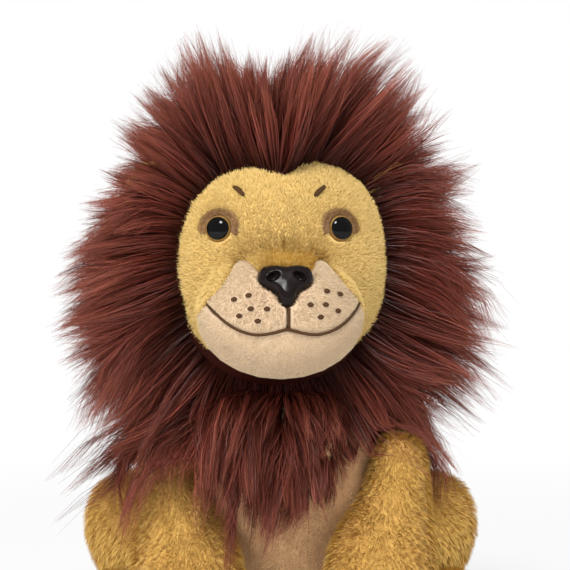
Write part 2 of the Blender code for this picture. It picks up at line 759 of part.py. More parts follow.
def make_nose(finishes):
    """The moulded nose, its post and washer. Returns the cutters of its seat and of its washer's room."""
    outline = nose_outline()
    middle = Vector((0, 0, 0))
    shape = bmesh.new()
    rings = []
    for size, bulge in NOSE_STEP_SHARES:
        rings.append([shape.verts.new((x * size, -NOSE_BULGE * bulge, z * size)) for x, z in outline])
    bridge_rings(shape, rings, middle, Vector((0, -NOSE_BULGE, 0)))
    nose = placed("nose", shape, finishes["nose"])
    nose.matrix_world = nose_frame()
    aside, ahead, above = NOSTRIL_PLACE_SHARES
    for name, side in SIDES:
        spot = Matrix.Translation((
            side * NOSE_HALF_WIDTH * aside, -NOSE_BULGE * ahead, NOSE_LENGTH * above
        ))
        lean = Matrix.Rotation(side * NOSTRIL_LEAN, 4, "Y")
        cut(nose, helper(ball(
            f"nostril_{name}", NOSTRIL_HALF_WIDTH, NOSTRIL_DEPTH, NOSTRIL_HALF_HEIGHT,
            nose_frame() @ spot @ lean,
        )))

    facing = nose_frame() @ Matrix.Rotation(math.pi / 2, 4, "X")
    post = helper(turned("nose_post_form", post_profile(), TURNED_SIDES))
    post.matrix_world = facing
    combine(nose, post, "UNION")

    seat = helper(prism(
        "nose_seat", nose_outline(2 * SEAM_GAP), SEAM_GAP, -NOSE_BULGE - OVERRUN, nose_frame()
    ))
    make_washer("nose_washer", facing, finishes)
    return seat, washer_room("nose_washer_room", facing)


def post_profile():
    """A post that stands into the stuffing, from a little inside its head down to its end."""
    inside = EYE_RIM / 2
    return [(0, inside), (POST_RADIUS, inside), (POST_RADIUS, -POST_LENGTH), (0, -POST_LENGTH)]


def make_washer(name, facing, finishes):
    """A push-on washer, slightly dished, round a post."""
    bore = POST_RADIUS + SEAM_GAP
    dish = WASHER_THICKNESS / 2
    top = -WASHER_DEPTH
    profile = [
        (bore, top), (WASHER_RADIUS, top + dish), (WASHER_RADIUS, top + dish - WASHER_THICKNESS),
        (bore, top - WASHER_THICKNESS), (bore, top),
    ]
    washer = turned(name, profile, TURNED_SIDES, finishes["washer"])
    washer.matrix_world = facing


def washer_room(name, facing):
    """The post's hole in the stuffing, wider where the washer lies."""
    hole = POST_RADIUS + SEAM_GAP
    wide = WASHER_RADIUS + SEAM_GAP
    top = -WASHER_DEPTH + WASHER_THICKNESS / 2 + SEAM_GAP
    low = -WASHER_DEPTH - WASHER_THICKNESS - SEAM_GAP
    profile = [
        (0, OVERRUN / 2), (hole, OVERRUN / 2), (hole, top), (wide, top), (wide, low), (hole, low),
        (hole, -POST_LENGTH - SEAM_GAP), (0, -POST_LENGTH - SEAM_GAP),
    ]
    room = helper(turned(name, profile, TURNED_SIDES))
    room.matrix_world = facing
    return room


def eye_frame(side):
    """Places an eye made about its own +Z axis on the front of the head."""
    level = 1 - (EYE_RISE / HEAD_HALF_HEIGHT) ** 2
    across = 1 - (EYE_SPREAD / HEAD_HALF_WIDTH) ** 2 / level
    ahead = HEAD_DEPTH_AHEAD * math.sqrt(level * across)
    aim = Vector(EYE_AIM_SHARES).normalized()
    aim.x *= side
    spot = HEAD_CENTRE + Vector((side * EYE_SPREAD, -ahead, EYE_RISE)) - aim * EYE_SINK
    return Matrix.Translation(spot) @ aim.to_track_quat("Z", "Y").to_matrix().to_4x4()


def make_eye(name, side, finishes):
    """A safety eye with its washer. Returns the cutters of its seat and of its washer's room."""
    dome = []
    for n in range(EYE_DOME_STEPS + 1):
        turn = math.pi / 2 * n / EYE_DOME_STEPS
        dome.append((EYE_RADIUS * math.sin(turn), EYE_RIM + (EYE_HEIGHT - EYE_RIM) * math.cos(turn)))
    profile = dome + [(EYE_RADIUS, 0), (POST_RADIUS, 0)] + post_profile()[2:]
    eye = turned(f"eye_{name}", profile, TURNED_SIDES, finishes["eye"])
    facing = eye_frame(side)
    eye.matrix_world = facing
    make_washer(f"eye_washer_{name}", facing, finishes)
    edge = EYE_RADIUS + SEAM_GAP
    seat = helper(turned(f"eye_seat_{name}", [
        (0, OVERRUN / 2), (edge, OVERRUN / 2), (edge, -SEAM_GAP), (0, -SEAM_GAP)
    ], TURNED_SIDES))
    seat.matrix_world = facing
    return seat, washer_room(f"eye_washer_room_{name}", facing)


def make_eye_patch(name, side, form, seat, finishes):
    outline = [(side * x * EYE_RADIUS, z * EYE_RADIUS) for x, z in PATCH_SHARES]
    spot = eye_frame(side).translation
    frame = Matrix.Translation((spot.x, HEAD_CENTRE.y, spot.z))
    patch = prism(
        f"eye_patch_{name}", outline, -HEAD_DEPTH_AHEAD - OVERRUN, 0, frame, finishes["patch"]
    )
    combine(patch, grown_copy(form, f"eye_patch_{name}_face", SEAM_GAP + PATCH_THICKNESS), "INTERSECT")
    cut(patch, grown_copy(form, f"eye_patch_{name}_back", SEAM_GAP), seat)


def ear_frame(side):
    spot = HEAD_CENTRE + Vector((side * EAR_SPREAD, -EAR_FORWARD, EAR_RISE))
    return Matrix.Translation(spot) @ Matrix.Rotation(side * EAR_TURN, 4, "Z")


def ball(name, width, depth, height, frame, material=None):
    """A ball pressed to three half sizes."""
    turns = [math.pi * n / BALL_STEPS for n in range(BALL_STEPS + 1)]
    piece = turned(name, [(abs(math.sin(t)), math.cos(t)) for t in turns], 2 * BALL_STEPS, material)
    piece.data.transform(Matrix.Diagonal((width, depth, height, 1)))
    piece.matrix_world = frame
    return piece


def make_ear(name, side, form, finishes):
    """An ear with its lining. Returns the cutter of the room that the mane leaves round them."""
    frame = ear_frame(side)
    ear = ball(f"ear_{name}", EAR_HALF_WIDTH, EAR_HALF_THICKNESS, EAR_HALF_HEIGHT, frame, finishes["tan"])
    forward = Matrix.Translation((0, -EAR_HALF_THICKNESS, 0))
    wide, high = EAR_HALF_WIDTH * EAR_DISH_SHARE, EAR_HALF_HEIGHT * EAR_DISH_SHARE
    deep = EAR_DISH_DEPTH + EAR_HALF_THICKNESS / 2
    dish = helper(ball(f"ear_dish_{name}", wide, deep, high, frame @ forward))
    lining = ball(
        f"ear_lining_{name}", wide - SEAM_GAP, deep - SEAM_GAP, high - SEAM_GAP, frame @ forward,
        finishes["cream"],
    )
    front = EAR_HALF_WIDTH + OVERRUN
    face = -EAR_HALF_THICKNESS * EAR_DISH_SHARE
    before = helper(prism(
        f"ear_front_{name}", ((-front, -front), (front, -front), (front, front), (-front, front)),
        face, -front, frame,
    ))
    skull = grown_copy(form, f"ear_seat_{name}", SEAM_GAP)
    cut(ear, skull, dish)
    cut(lining, skull, before)
    room = helper(ball(
        f"ear_room_{name}", EAR_HALF_WIDTH + SWING_GAP, EAR_HALF_THICKNESS + SWING_GAP,
        EAR_HALF_HEIGHT + SWING_GAP, frame,
    ))
    return room


def mane_regions():
    """The panels of the head's mane: (name, outline about the mane's centre, where they end behind it)."""
    far = 2 * MANE_RADIUS
    half = SEAM_GAP / 2
    regions = []
    for name, side in SIDES:
        split = Vector((math.sin(MANE_EAR_SPLIT), math.cos(MANE_EAR_SPLIT))) * far
        along = split.normalized() * half
        aside = Vector((along.y, -along.x))
        low = Vector((math.sin(MANE_CHIN_SPLIT), math.cos(MANE_CHIN_SPLIT))) * far
        crown = [(half, half), (half, far), (split.x, far), (split.x - aside.x, split.y - aside.y)]
        cheek = [
            (half + aside.x, aside.y - half), (split.x + aside.x, split.y + aside.y), (far, -far), tuple(low),
        ]
        regions.append((f"mane_crown_{name}", [(side * x, z) for x, z in crown]))
        regions.append((f"mane_cheek_{name}", [(side * x, z) for x, z in cheek]))
    return regions


def make_mane(head, muzzle, ear_rooms, finishes):
    form = mane_form()
    far = 2 * MANE_RADIUS
    frame = Matrix.Translation(MANE_CENTRE)
    under = block("under_mane", (-far, -far, -far), (far, far, NECK_HEIGHT + SEAM_GAP))
    for name, outline in mane_regions():
        panel = copy_of(form, name)
        region = helper(prism(f"{name}_region", outline, -far, MANE_BACK_SPLIT - SEAM_GAP / 2, frame))
        combine(panel, region, "INTERSECT")
        cut(panel, grown_copy(head, f"{name}_bed", SEAM_GAP), under)
        if "cheek" in name:
            cut(panel, grown_copy(muzzle, f"{name}_muzzle_room", SEAM_GAP))
        cut(panel, ear_rooms[name.rsplit("_", 1)[1]])
    nape = copy_of(form, "mane_nape")
    split = MANE_CENTRE.y + MANE_BACK_SPLIT + SEAM_GAP / 2
    before = block("before_nape", (-far, -far, -far), (far, split, 2 * far))
    cut(nape, before, grown_copy(head, "mane_nape_bed", SEAM_GAP), under)
    form.data.materials.append(finishes["mane"])


def make_ruff(torso, finishes):
    """The two halves of the ruff, which lie on the torso and leave room for the shoulders."""
    form = ruff_form()
    form.data.materials.append(finishes["mane"])
    far = RUFF_FRONT + OVERRUN
    over = block("over_ruff", (-far, -far, NECK_HEIGHT), (far, far, far + NECK_HEIGHT))
    bed = grown_copy(torso, "ruff_bed", SEAM_GAP)
    for name, side in SIDES:
        half = copy_of(form, f"mane_ruff_{name}")
        ends = sorted((side * SEAM_GAP / 2, -side * far))
        cut(half, over, bed, block(f"beside_ruff_{name}", (ends[0], -far, -far), (ends[1], far, 2 * far)))
        inner = PAW_SPREAD - FORELEG_HALF_WIDTH - SWING_GAP
        ends = sorted((side * inner, side * far))
        ceiling = SHOULDER_AXIS.z + LEG_ROOM_TOP
        behind = TORSO_HALF_DEPTH / 2
        cut(half, block(f"leg_room_{name}", (ends[0], -far, -OVERRUN), (ends[1], behind, ceiling)))
        cap = helper(turned(f"shoulder_room_{name}", [
            (0, far), (SHOULDER_RADIUS + SWING_GAP, far), (SHOULDER_RADIUS + SWING_GAP, 0), (0, 0)
        ], TURNED_SIDES))
        cap.matrix_world = (
            Matrix.Translation(SHOULDER_AXIS + Vector((side * inner, 0, 0)))
            @ Matrix.Rotation(side * math.pi / 2, 4, "Y")
        )
        cut(half, cap)


def make_forelegs(torso, finishes):
    """Front legs, cut by the torso where it passes as they swing."""
    wide = 2 * SHOULDER_SPREAD + OVERRUN
    floor = block("under_forelegs", (-wide, -2 * wide, -OVERRUN), (wide, wide, 0))
    passing = []
    for step in range(FORELEG_SWING_STEPS + 1):
        turn = math.radians(FORELEG_LIFT) * step / FORELEG_SWING_STEPS
        room = grown_copy(torso, f"torso_pass_{step}", SEAM_GAP)
        room.matrix_world = (
            Matrix.Translation(SHOULDER_AXIS)
            @ Matrix.Rotation(turn, 4, "X")
            @ Matrix.Translation(-SHOULDER_AXIS)
        )
        passing.append(room)
    legs = []
    for name, side in SIDES:
        sections = foreleg_sections(side)
        top = Vector((side * SHOULDER_SPREAD, SHOULDER_AXIS.y, SHOULDER_AXIS.z + SHOULDER_RADIUS))
        low = sections[-1][0].copy()
        low.z = -FLOOR_PRESS
        leg = loft(f"foreleg_{name}", sections, LIMB_SIDES, top, low, finishes["tan"])
        cut(leg, floor, *passing)
        legs.append(leg)
    return legs


def make_hind_legs(finishes):
    """Haunches, flat against the body, with the feet sewn under their fronts."""
    wide = 2 * HAUNCH_REACH
    floor = block("under_hind_legs", (-wide, -wide, -OVERRUN), (wide, wide, 0))
    inner = HIP_PLANE + SEAM_GAP
    body_room = block("hip_room", (-inner, -wide, -wide), (inner, wide, wide))
    legs = []
    for name, side in SIDES:
        sections = haunch_sections(side)
        root = HIP_AXIS + Vector((side * (HIP_PLANE + (HAUNCH_REACH - HIP_PLANE) * HAUNCH_ROOT_SHARE), 0, 0))
        out = HIP_AXIS + Vector((side * HAUNCH_REACH, 0, HAUNCH_BULGE_RISE))
        haunch = loft(f"haunch_{name}", sections, LIMB_SIDES, root, out, finishes["tan"])
        seat = grown_copy(haunch, f"foot_seat_{name}", SEAM_GAP)
        cut(haunch, floor, body_room)
        parts, heel, toe = foot_sections(side)
        foot = loft(f"hind_foot_{name}", parts, FOOT_SIDES, heel, toe, finishes["tan"])
        cut(foot, seat, floor, body_room)
        legs.append((haunch, foot))
    return legs


def make_tail(finishes):
    """The tail turns in the torso on a ball, and its tuft is a form of long pile."""
    points = [TAIL_ROOT + Vector((0, -TAIL_BALL_RADIUS, 0)), TAIL_ROOT.copy()]
    for aside, back, up in TAIL_PATH_SHARES:
        points.append(Vector((
            TAIL_LENGTH * aside, TAIL_ROOT_BACK + TAIL_LENGTH * back, TAIL_ROOT_HEIGHT * up
        )))
    sections = []
    for before, here, after in zip(points, points[1:], points[2:]):
        way = (after - before).normalized()
        across = way.cross(Vector((0, 0, 1))).normalized()
        upward = across.cross(way)
        sections.append((here, across * TAIL_RADIUS, upward * TAIL_RADIUS))
    tail = loft("tail", sections[1:], TAIL_SIDES, points[1], points[-1], finishes["tan"])
    size = TAIL_BALL_RADIUS
    combine(tail, helper(ball("tail_ball_form", size, size, size, Matrix.Translation(TAIL_ROOT))), "UNION")
    return tail, points


def make_tuft(tail, points, finishes):
    way = (points[-1] - points[-2]).normalized()
    way.z = 0
    way.normalize()
    across = Vector((-way.y, way.x, 0))
    upward = Vector((0, 0, 1))
    start = points[-1].copy()
    sections = []
    for along, size, reach in TUFT_SHARES:
        radius = TUFT_RADIUS * size
        centre = start + way * TUFT_LENGTH * along
        height = radius * TUFT_FLATNESS_SHARE
        centre.z = max(centre.z, height)
        sections.append((centre, across * radius, upward * height, reach, way * TUFT_LENGTH * reach))
    tip = start + way * TUFT_LENGTH
    tuft = lock_form("tail_tuft", sections, TUFT_LOCKS, sections[0][0], tip)
    tuft.data.materials.append(finishes["mane"])
    wide = TAIL_LENGTH + TUFT_LENGTH
    floor = block("under_tail", (-2 * wide, -wide, -OVERRUN), (2 * wide, 3 * wide, 0))
    cut(tuft, floor)
    core = helper(copy_of(tail, "tail_core", SEAM_GAP))
    cut(tuft, core)
    cut(tail, floor)
    return tuft


def build():
    clear_scene()
    finishes = make_finishes()
    torso_shape, head_shape, muzzle_shape = torso_form(), head_form(), muzzle_form()

    bib_room = make_bib(torso_shape, finishes)
    bag_room = make_seat(finishes)
    make_torso(torso_shape, bib_room, bag_room, finishes)
    made_before = set(bpy.data.objects)

    head = copy_of(head_shape, "head")
    head.data.materials.append(finishes["tan"])
    panels, muzzle_room = muzzle_panels(muzzle_shape, finishes)
    nose_seat, nose_room = make_nose(finishes)
    wide = 2 * HEAD_HALF_WIDTH
    under = block("under_head", (-wide, -2 * wide, 0), (wide, wide, NECK_HEIGHT + SEAM_GAP))
    combine(head, muzzle_shape, "UNION")
    cut(head, muzzle_room, nose_seat, nose_room, under)
    for panel in panels[1:]:
        cut(panel, nose_seat, nose_room)

    ear_rooms = {}
    for name, side in SIDES:
        seat, room = make_eye(name, side, finishes)
        cut(head, seat, room)
        make_eye_patch(name, side, head_shape, seat, finishes)
        ear_rooms[name] = make_ear(name, side, head_shape, finishes)
    make_mane(head_shape, muzzle_shape, ear_rooms, finishes)
    of_head = [made for made in bpy.data.objects if made not in made_before]
    neck = hang("head_pivot", Vector((0, -NECK_FORWARD, NECK_HEIGHT)), [head_shape, muzzle_shape, *of_head])
    neck.location.x = HEAD_ASIDE
    neck.rotation_euler.z = HEAD_TURN

    make_ruff(torso_shape, finishes)
    for leg, (name, side) in zip(make_forelegs(torso_shape, finishes), SIDES):
        hang(f"shoulder_pivot_{name}", SHOULDER_AXIS + Vector((side * SHOULDER_SPREAD, 0, 0)), [leg])
    for pieces, (name, side) in zip(make_hind_legs(finishes), SIDES):
        hang(f"hip_pivot_{name}", HIP_AXIS + Vector((side * HIP_PLANE, 0, 0)), pieces)
    tail, points = make_tail(finishes)
    tuft = make_tuft(tail, points, finishes)
    hang("tail_pivot", TAIL_ROOT, [tail, tuft])


build()
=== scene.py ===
"""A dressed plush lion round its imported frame: stuffed covers, pile, moulded face and stitching."""

import math

import bmesh
import bpy
import numpy as np
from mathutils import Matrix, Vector
from mathutils.bvhtree import BVHTree
from mathutils.kdtree import KDTree


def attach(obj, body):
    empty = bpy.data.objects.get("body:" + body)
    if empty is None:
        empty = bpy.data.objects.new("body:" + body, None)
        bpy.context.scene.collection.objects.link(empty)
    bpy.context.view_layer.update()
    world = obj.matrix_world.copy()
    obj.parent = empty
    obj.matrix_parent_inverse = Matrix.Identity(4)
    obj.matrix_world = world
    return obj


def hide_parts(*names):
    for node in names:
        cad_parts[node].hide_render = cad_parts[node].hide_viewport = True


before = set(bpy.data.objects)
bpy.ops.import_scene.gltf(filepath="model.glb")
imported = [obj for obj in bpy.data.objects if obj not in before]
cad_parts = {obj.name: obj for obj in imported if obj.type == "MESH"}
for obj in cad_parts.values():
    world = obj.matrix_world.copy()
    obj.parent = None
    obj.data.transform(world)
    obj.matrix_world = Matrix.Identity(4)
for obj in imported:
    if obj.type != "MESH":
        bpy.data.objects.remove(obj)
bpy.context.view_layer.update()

# Photograph and camera
PHOTO_SIZE = 570
PIXEL = 0.00044
PHOTO_MIDDLE = 285
FLOOR_ROW = 640
FACE_PLANE = -0.078
CAMERA_DISTANCE = 1.40
CAMERA_TURN = math.radians(-1.3)
CAMERA_RISE = math.radians(2.0)
SENSOR = 36.0
CLIP_START = 0.05
CLIP_END = 50
FLOOR_WIDTH = 8
FLOOR_GREY = 0.86
FLOOR_FADE = (0.25, 0.90)
FLOOR_GLOW = 0.75
SKY_LEVEL = 0.50
LAMP_AIM = (0, -0.03, 0.13)
# name, place, width and power
LAMPS = (
    ("key", (-0.12, -1.05, 1.35), 0.42, 20.0),
    ("left_fill", (-1.00, -1.15, 0.55), 0.80, 13.5),
    ("right_fill", (1.05, -1.05, 0.60), 0.70, 5.0),
)

DOWN = np.array([[0, 0, -1.0]])
FORWARD = np.array([[0, -1.0, 0]])

# How the head sits on the neck
HEAD_ASIDE = -0.0050
HEAD_TURN = math.radians(4.0)
NECK_Y = -0.025
NECK_Z = 0.107
HEAD_CENTRE = (0, -0.025, 0.161)
HEAD_HALF_SIZES = (0.0555, 0.0525, 0.0585)
MUZZLE_CENTRE = (0, -0.025, 0.140)
MUZZLE_BODY = (0, -0.064, 0.141)
MUZZLE_HALF_SIZES = (0.0385, 0.0420, 0.0290)
MUZZLE_ROOM = 0.0015

# Edge of the mane round the face, in the head's own frame, from the top of the forehead clockwise
FACE_EDGE = (
    (0.0015, 0.2035), (0.0050, 0.2045), (0.0105, 0.2080), (0.0175, 0.2095), (0.0285, 0.2070),
    (0.0385, 0.2010), (0.0450, 0.1915), (0.0480, 0.1785), (0.0490, 0.1650), (0.0475, 0.1500),
    (0.0445, 0.1400), (0.0405, 0.1345), (0.0340, 0.1300), (0.0000, 0.1240), (-0.0310, 0.1290),
    (-0.0360, 0.1350), (-0.0400, 0.1440), (-0.0425, 0.1550), (-0.0435, 0.1650),
    (-0.0425, 0.1770), (-0.0370, 0.1920), (-0.0265, 0.2025), (-0.0180, 0.2060), (-0.0105, 0.2070),
    (-0.0040, 0.2055),
)
FACE_BACK = -0.034
UNDER_CHIN = -0.036
FACE_MIDDLE = (0.0005, 0.1680)

# Mouth line as in the cut of the muzzle, shares of its half width and half height
MOUTH_SHARES = (
    (0.00, -0.07), (0.16, -0.14), (0.34, -0.18), (0.53, -0.13), (0.71, 0.01), (0.86, 0.21),
    (0.92, 0.31),
)
MOUTH_HALF_WIDTH = 0.0366
MOUTH_HALF_HEIGHT = 0.0263
MOUTH_THREAD = 0.00068
MOUTH_LIFT = 0.0008
STITCH_RIDGE = 0.0012
STITCH_LIFT = 0.0013
STITCH_ROOM = 0.0012
PHILTRUM_TOP = 0.0074
PHILTRUM_ASIDE = 0.0007

# Stitched marks, in pixels of the photograph
WHISKER_DOTS = (
    (235, 300), (249, 296), (251, 309), (267, 309), (240, 316), (258, 321),
    (326, 292), (339, 295), (310, 305), (325, 305), (337, 311), (320, 317),
)
WHISKER_DOT_HALF_SIZES = (0.00145, 0.00115)
BROW_STROKES = (((234, 189), (239, 191.5), (244.5, 197)), ((313.5, 197.5), (318, 193), (323.5, 188.5)))
BROW_THREAD = 0.00110
BROW_LIFT = 0.0016

# Stuffed covers: node, body, cloth, voxel size and smoothing turns. No voxel size: blown up by simulation
COVERS = (
    ("torso", "torso", "tan", None, 6),
    ("seat_panel", "torso", "tan", 0.0009, 2),
    ("chest_bib", "torso", "bib", 0.0014, 2),
    ("pellet_bag", "torso", "bag", 0.0024, 6),
    ("head", "head", "face", 0.0016, 3),
    ("chin", "head", "cream", 0.0009, 4),
    ("tail", "tail", "tan", 0.0014, 6),
)
PAIRED_COVERS = (
    ("muzzle_pad", "head", "cream", 0.0009, 4),
    ("ear", "head", "tan", 0.0011, 4),
    ("ear_lining", "head", "cream", 0.0009, 3),
    ("eye_patch", "head", "patch", 0.0003, 2),
    ("foreleg", "foreleg", "tan", None, 6),
    ("haunch", "hind_leg", "tan", None, 6),
    ("hind_foot", "hind_leg", "tan", None, 6),
)
SIDES = (("left", -1), ("right", 1))
PLUMP_VOXEL = 0.0045
PLUMP_PRESSURE = 4
PLUMP_FRAMES = 20
PLUMP_CAP = 0.0016
PLUMP_INSET = 0.0012
SEAM_REACH = 0.0030

# Own tint of a fibre, from the dark one to the light one, and its usual value in short and in long pile
TINT_LIMITS = (0.02, 0.98)
PILE_TINT = 0.66
HAIR_TINT = 0.36

# Long pile of the mane
MANE_DENSITY = 6.0e6
FIBRES_OF_LOCK = 38
TUFT_OF_LOCKS = 8
TUFT_LEAN = 0.22
LOCK_LEAN = 0.13
LOCK_LATE = 1.7
LOOSE_SHARE = 0.15
# How unlike one another locks and fibres are at the root and at the tip
ROOT_DISORDER = 0.07
TIP_DISORDER = 0.06
LOOSE_DISORDER = 0.16
# Lengths, as shares of the solids' reach, the usual length, the tuft's and the lock's own
REACH_SHARE = 1.08
REACH_LIMITS = (0.68, 1.15)
TUFT_LENGTHS = (0.88, 1.07)
LOCK_LENGTHS = (0.72, 1.10)
LOCK_MOST = 1.09
# How far locks are drawn to their tuft, and fibres to their lock
LOCK_PULL = (0.30, 0.80)
FIBRE_PULL = (0.72, 1.0)
LOOSE_PULL = (0.1, 0.6)
# Some fibres are paler than the rest
PALE_SHARE = 0.07
PALE_TINT = 0.35
MANE_FIBRE_WIDTH = 0.00032
MANE_STEPS = 4
MANE_MOST = 24500
NAPE_MOST = 22000
RUFF_MOST = 17500
MANE_LENGTH = 0.058
MANE_CENTRE = (0, -0.020, 0.165)
WHORL_RISE = 0.034
# Borders of the mane's pieces: between nape and front, and degrees from straight up between crown and cheek
NAPE_FRONT = -0.008
CROWN_MIDDLE = 0.167
CROWN_TURN = 62
PARTING_WIDTH = 0.011
RAY_LENGTH = 0.15
# degrees from straight up towards the right in a front view, and how far the hair stands from the middle
MANE_OUTLINE = (
    (-180, 0.104), (-150, 0.110), (-135, 0.114), (-120, 0.105), (-105, 0.100), (-90, 0.092), (-75, 0.088),
    (-60, 0.082), (-45, 0.094), (-30, 0.102), (-15, 0.105), (0, 0.090), (15, 0.108), (30, 0.109), (45, 0.100),
    (60, 0.103), (75, 0.095), (90, 0.099), (105, 0.109), (120, 0.118), (135, 0.120), (150, 0.114), (180, 0.104),
)
TRIM_LIMITS = (0.55, 1.40)
# degrees from straight up to either side, and how steeply the hair rises there
HAIR_FALL = (
    (0, 88), (15, 64), (30, 46), (45, 28), (60, 8), (75, -12), (90, -32), (105, -40), (120, -43), (135, -48),
    (150, -60), (165, -74), (180, -88),
)
RUFF_LENGTH = 0.060
RUFF_FOOT = 0.080
CHEST_RUFF_FOOT = 0.070
CHEST_WIDTH = 0.024
CHEST_SHARE = 0.55
# where across the chest the locks are short, and where they are long: middle and width
RUFF_PARTED = (0.028, 0.017)
RUFF_DRAPED = (-0.034, 0.016)
BACKING_LIFT = 0.0012
# Place on the fibres' texture that the backing takes: their dark root colour, painted shade in the gaps of the
# long pile
BACKING_SHADE_TEXTURE = (0.3, 0.05)
RUFF_ROOT = 0.086
# How much darker the ruff's fibres are tinted: painted shade for the chin's shadow over the chest
RUFF_PAINTED_SHADE = 0.12
TUFT_LENGTH = 0.042
TAIL_PATH = (
    (0.0000, 0.0500, 0.0155), (0.0009, 0.0585, 0.0136), (0.0043, 0.0721, 0.0096), (0.0136, 0.0874, 0.0071),
    (0.0289, 0.0985, 0.0065), (0.0417, 0.1036, 0.0065), (0.0476, 0.1053, 0.0065),
)
# Rounded bodies that the hair of the ruff lies over: centre and half sizes
BODY_ROOMS = (
    ((0, -0.012, 0.050), (0.051, 0.054, 0.062)),
    ((-0.052, -0.046, 0.068), (0.0235, 0.0240, 0.0250)),
    ((0.052, -0.046, 0.068), (0.0235, 0.0240, 0.0250)),
    ((-0.047, -0.064, 0.034), (0.0285, 0.0290, 0.0480)),
    ((0.047, -0.064, 0.034), (0.0285, 0.0290, 0.0480)),
)

# Eyes and nose
EYE_RADIUS = 0.0060
EYE_HEIGHT = 0.0046
EYE_RIM = 0.0010
EYE_ROOM = 0.0006
EYE_SPREAD = 0.0272
EYE_RISE = 0.0198
EYE_SINK = 0.0014
EYE_AIM = (0.30, -0.94, 0.15)
EYE_STEPS = 12
EYE_EDGE = 0.99
POST_RADIUS = 0.0014
POST_LENGTH = 0.009
# The rounded brow that the eyes sit on: half width, half depth and half height
BROW_HALF_SIZES = (0.055, 0.052, 0.058)
NOSE_VOXEL = 0.00035
NOSE_TURNS = 5

# Lowest places of fibres over the floor, and how far off the cloth a search for other cloth starts
PILE_FLOOR = 0.0003
HAIR_FLOOR = 0.0006
RAY_START = 0.0004

# Short pile: how unlike one another its fibres and clumps are
FACING_DISORDER = 0.35
COMB_DISORDER = 0.14
ROOT_LEAN = 0.35
PILE_LENGTHS = (0.78, 1.12)
CLUMP_LEANS = (0.25, 0.35)
# Kinds of short pile: length, width, fibres and clumps for a square metre, joints of a fibre, how far it
# stands up at its end, how far it is drawn to its clump, and how mottled it is
PLUSH = {
    "length": 0.0046, "width": 0.00032, "density": 1.65e6, "clumps": 0.24e6, "steps": 2, "lift": 0.42,
    "pull": (0.05, 0.40), "mottle": 0.09,
}
BACK_PLUSH = {**PLUSH, "density": 1.3e6}
FACE_PLUSH = {
    "length": 0.0019, "width": 0.00029, "density": 4.8e6, "clumps": 0.50e6, "steps": 2, "lift": 0.40,
    "pull": (0.0, 0.22), "mottle": 0.05,
}
VELBOA = {
    "length": 0.0009, "width": 0.00028, "density": 3.5e6, "clumps": 0.50e6, "steps": 1, "lift": 1.20,
    "pull": (0.0, 0.12), "mottle": 0.02,
}
PAD_VELBOA = {**VELBOA, "density": 5.5e6, "lift": 0.8}
# The muzzle pads' pile is tinted darker than the chin's: painted shade, as the pads face up into the lamps
PAD_PAINTED_SHADE = 0.2
# part, body, how the pile lies on the right side, and how much darker it is painted for how the lamps fall on
# it:
# painted shade on the forelegs, painted light (below 0) on the haunches and hind feet
LIMB_PILES = (
    ("foreleg", "foreleg", (0.1, -0.35, -1), 0.08),
    ("haunch", "hind_leg", (0.4, -0.3, -1), -0.36),
    ("hind_foot", "hind_leg", (0.2, -1, -0.2), -0.10),
)

# Fibres: colours of the root, the middle and the tip, dark and light tint, then roughness, specular level
# and sheen
# The root colour is darker as painted shade deep in the pile, and the tip lighter as painted light where the
# lamps reach it
PILES = {
    "mane": (
        (52, 18, 11), (96, 42, 32), (130, 70, 55), (0.40, 0.36, 0.36), (2.05, 1.98, 1.92), 0.48, 0.25, 0.0,
    ),
    "tan": (
        (178, 134, 60), (216, 174, 88), (234, 200, 118), (0.58, 0.46, 0.30), (1.08, 1.08, 1.06), 0.65, 0.18,
        0.0,
    ),
    "face": (
        (214, 180, 106), (229, 199, 126), (236, 209, 140), (0.36, 0.22, 0.03), (1.06,) * 3, 0.65, 0.10, 0.0,
    ),
    "cream": (
        (200, 176, 143), (208, 184, 151), (214, 192, 161), (0.78, 0.76, 0.72), (1.05,) * 3, 0.65, 0.18, 0.0,
    ),
    "bib": (
        (190, 150, 106), (212, 174, 130), (224, 190, 148), (0.80, 0.76, 0.72), (1.05,) * 3, 0.65, 0.25, 0.15,
    ),
    "patch": (
        (214, 176, 102), (230, 198, 122), (240, 212, 142), (0.22, 0.15, 0.13), (1.02,) * 3, 0.65, 0.12, 0.0,
    ),
}
# Cloths: colour, shade, tufts and patches for a metre, depth of the nap, sheen
CLOTHS = {
    "tan": ((214, 172, 92), (184, 140, 68), 420, 45, 0.0006, 0.2),
    "face": ((226, 192, 116), (212, 176, 100), 900, 60, 0.0003, 0.2),
    "cream": ((206, 180, 150), (190, 162, 132), 1500, 70, 0.0003, 0.2),
    "bib": ((212, 174, 130), (190, 150, 108), 1500, 70, 0.0003, 0.2),
    "patch": ((132, 98, 62), (96, 66, 42), 1500, 90, 0.0003, 0.0),
    "bag": ((190, 186, 178), (160, 156, 148), 700, 200, 0.0008, 0.0),
}
# Where the face is sprayed darker: middle and width across, then middle and width up
BRIDGE = ((0.0025, 0.0150), (0.1665, 0.0085))
FLANKS = (0.0165, 0.005, 0.165, 0.011)
SOCKETS = (0.0265, 0.0075, 0.1865, 0.0065)
CREASE = ((0.001, 0.0007), (0.174, 0.004))
SPRAY_COLOUR = (112, 74, 26)
SPRAY_FULL = 0.62
PATCH_SHADE = 0.63
PATCH_FADE = 0.75


def srgb(*values):
    """A linear colour from the 0-255 values of a picture."""
    parts = [v / 255 for v in values]
    return tuple(p / 12.92 if p <= 0.04045 else ((p + 0.055) / 1.055) ** 2.4 for p in parts)


# Camera and studio


def camera_axes():
    """The camera's place and its right, up and backward directions."""
    aim = Vector((0, FACE_PLANE, (FLOOR_ROW - PHOTO_MIDDLE) * PIXEL))
    back = Vector((
        math.sin(CAMERA_TURN) * math.cos(CAMERA_RISE),
        -math.cos(CAMERA_TURN) * math.cos(CAMERA_RISE),
        math.sin(CAMERA_RISE),
    ))
    right = Vector((0, 0, 1)).cross(back).normalized()
    return aim + back * CAMERA_DISTANCE, right, back.cross(right), back


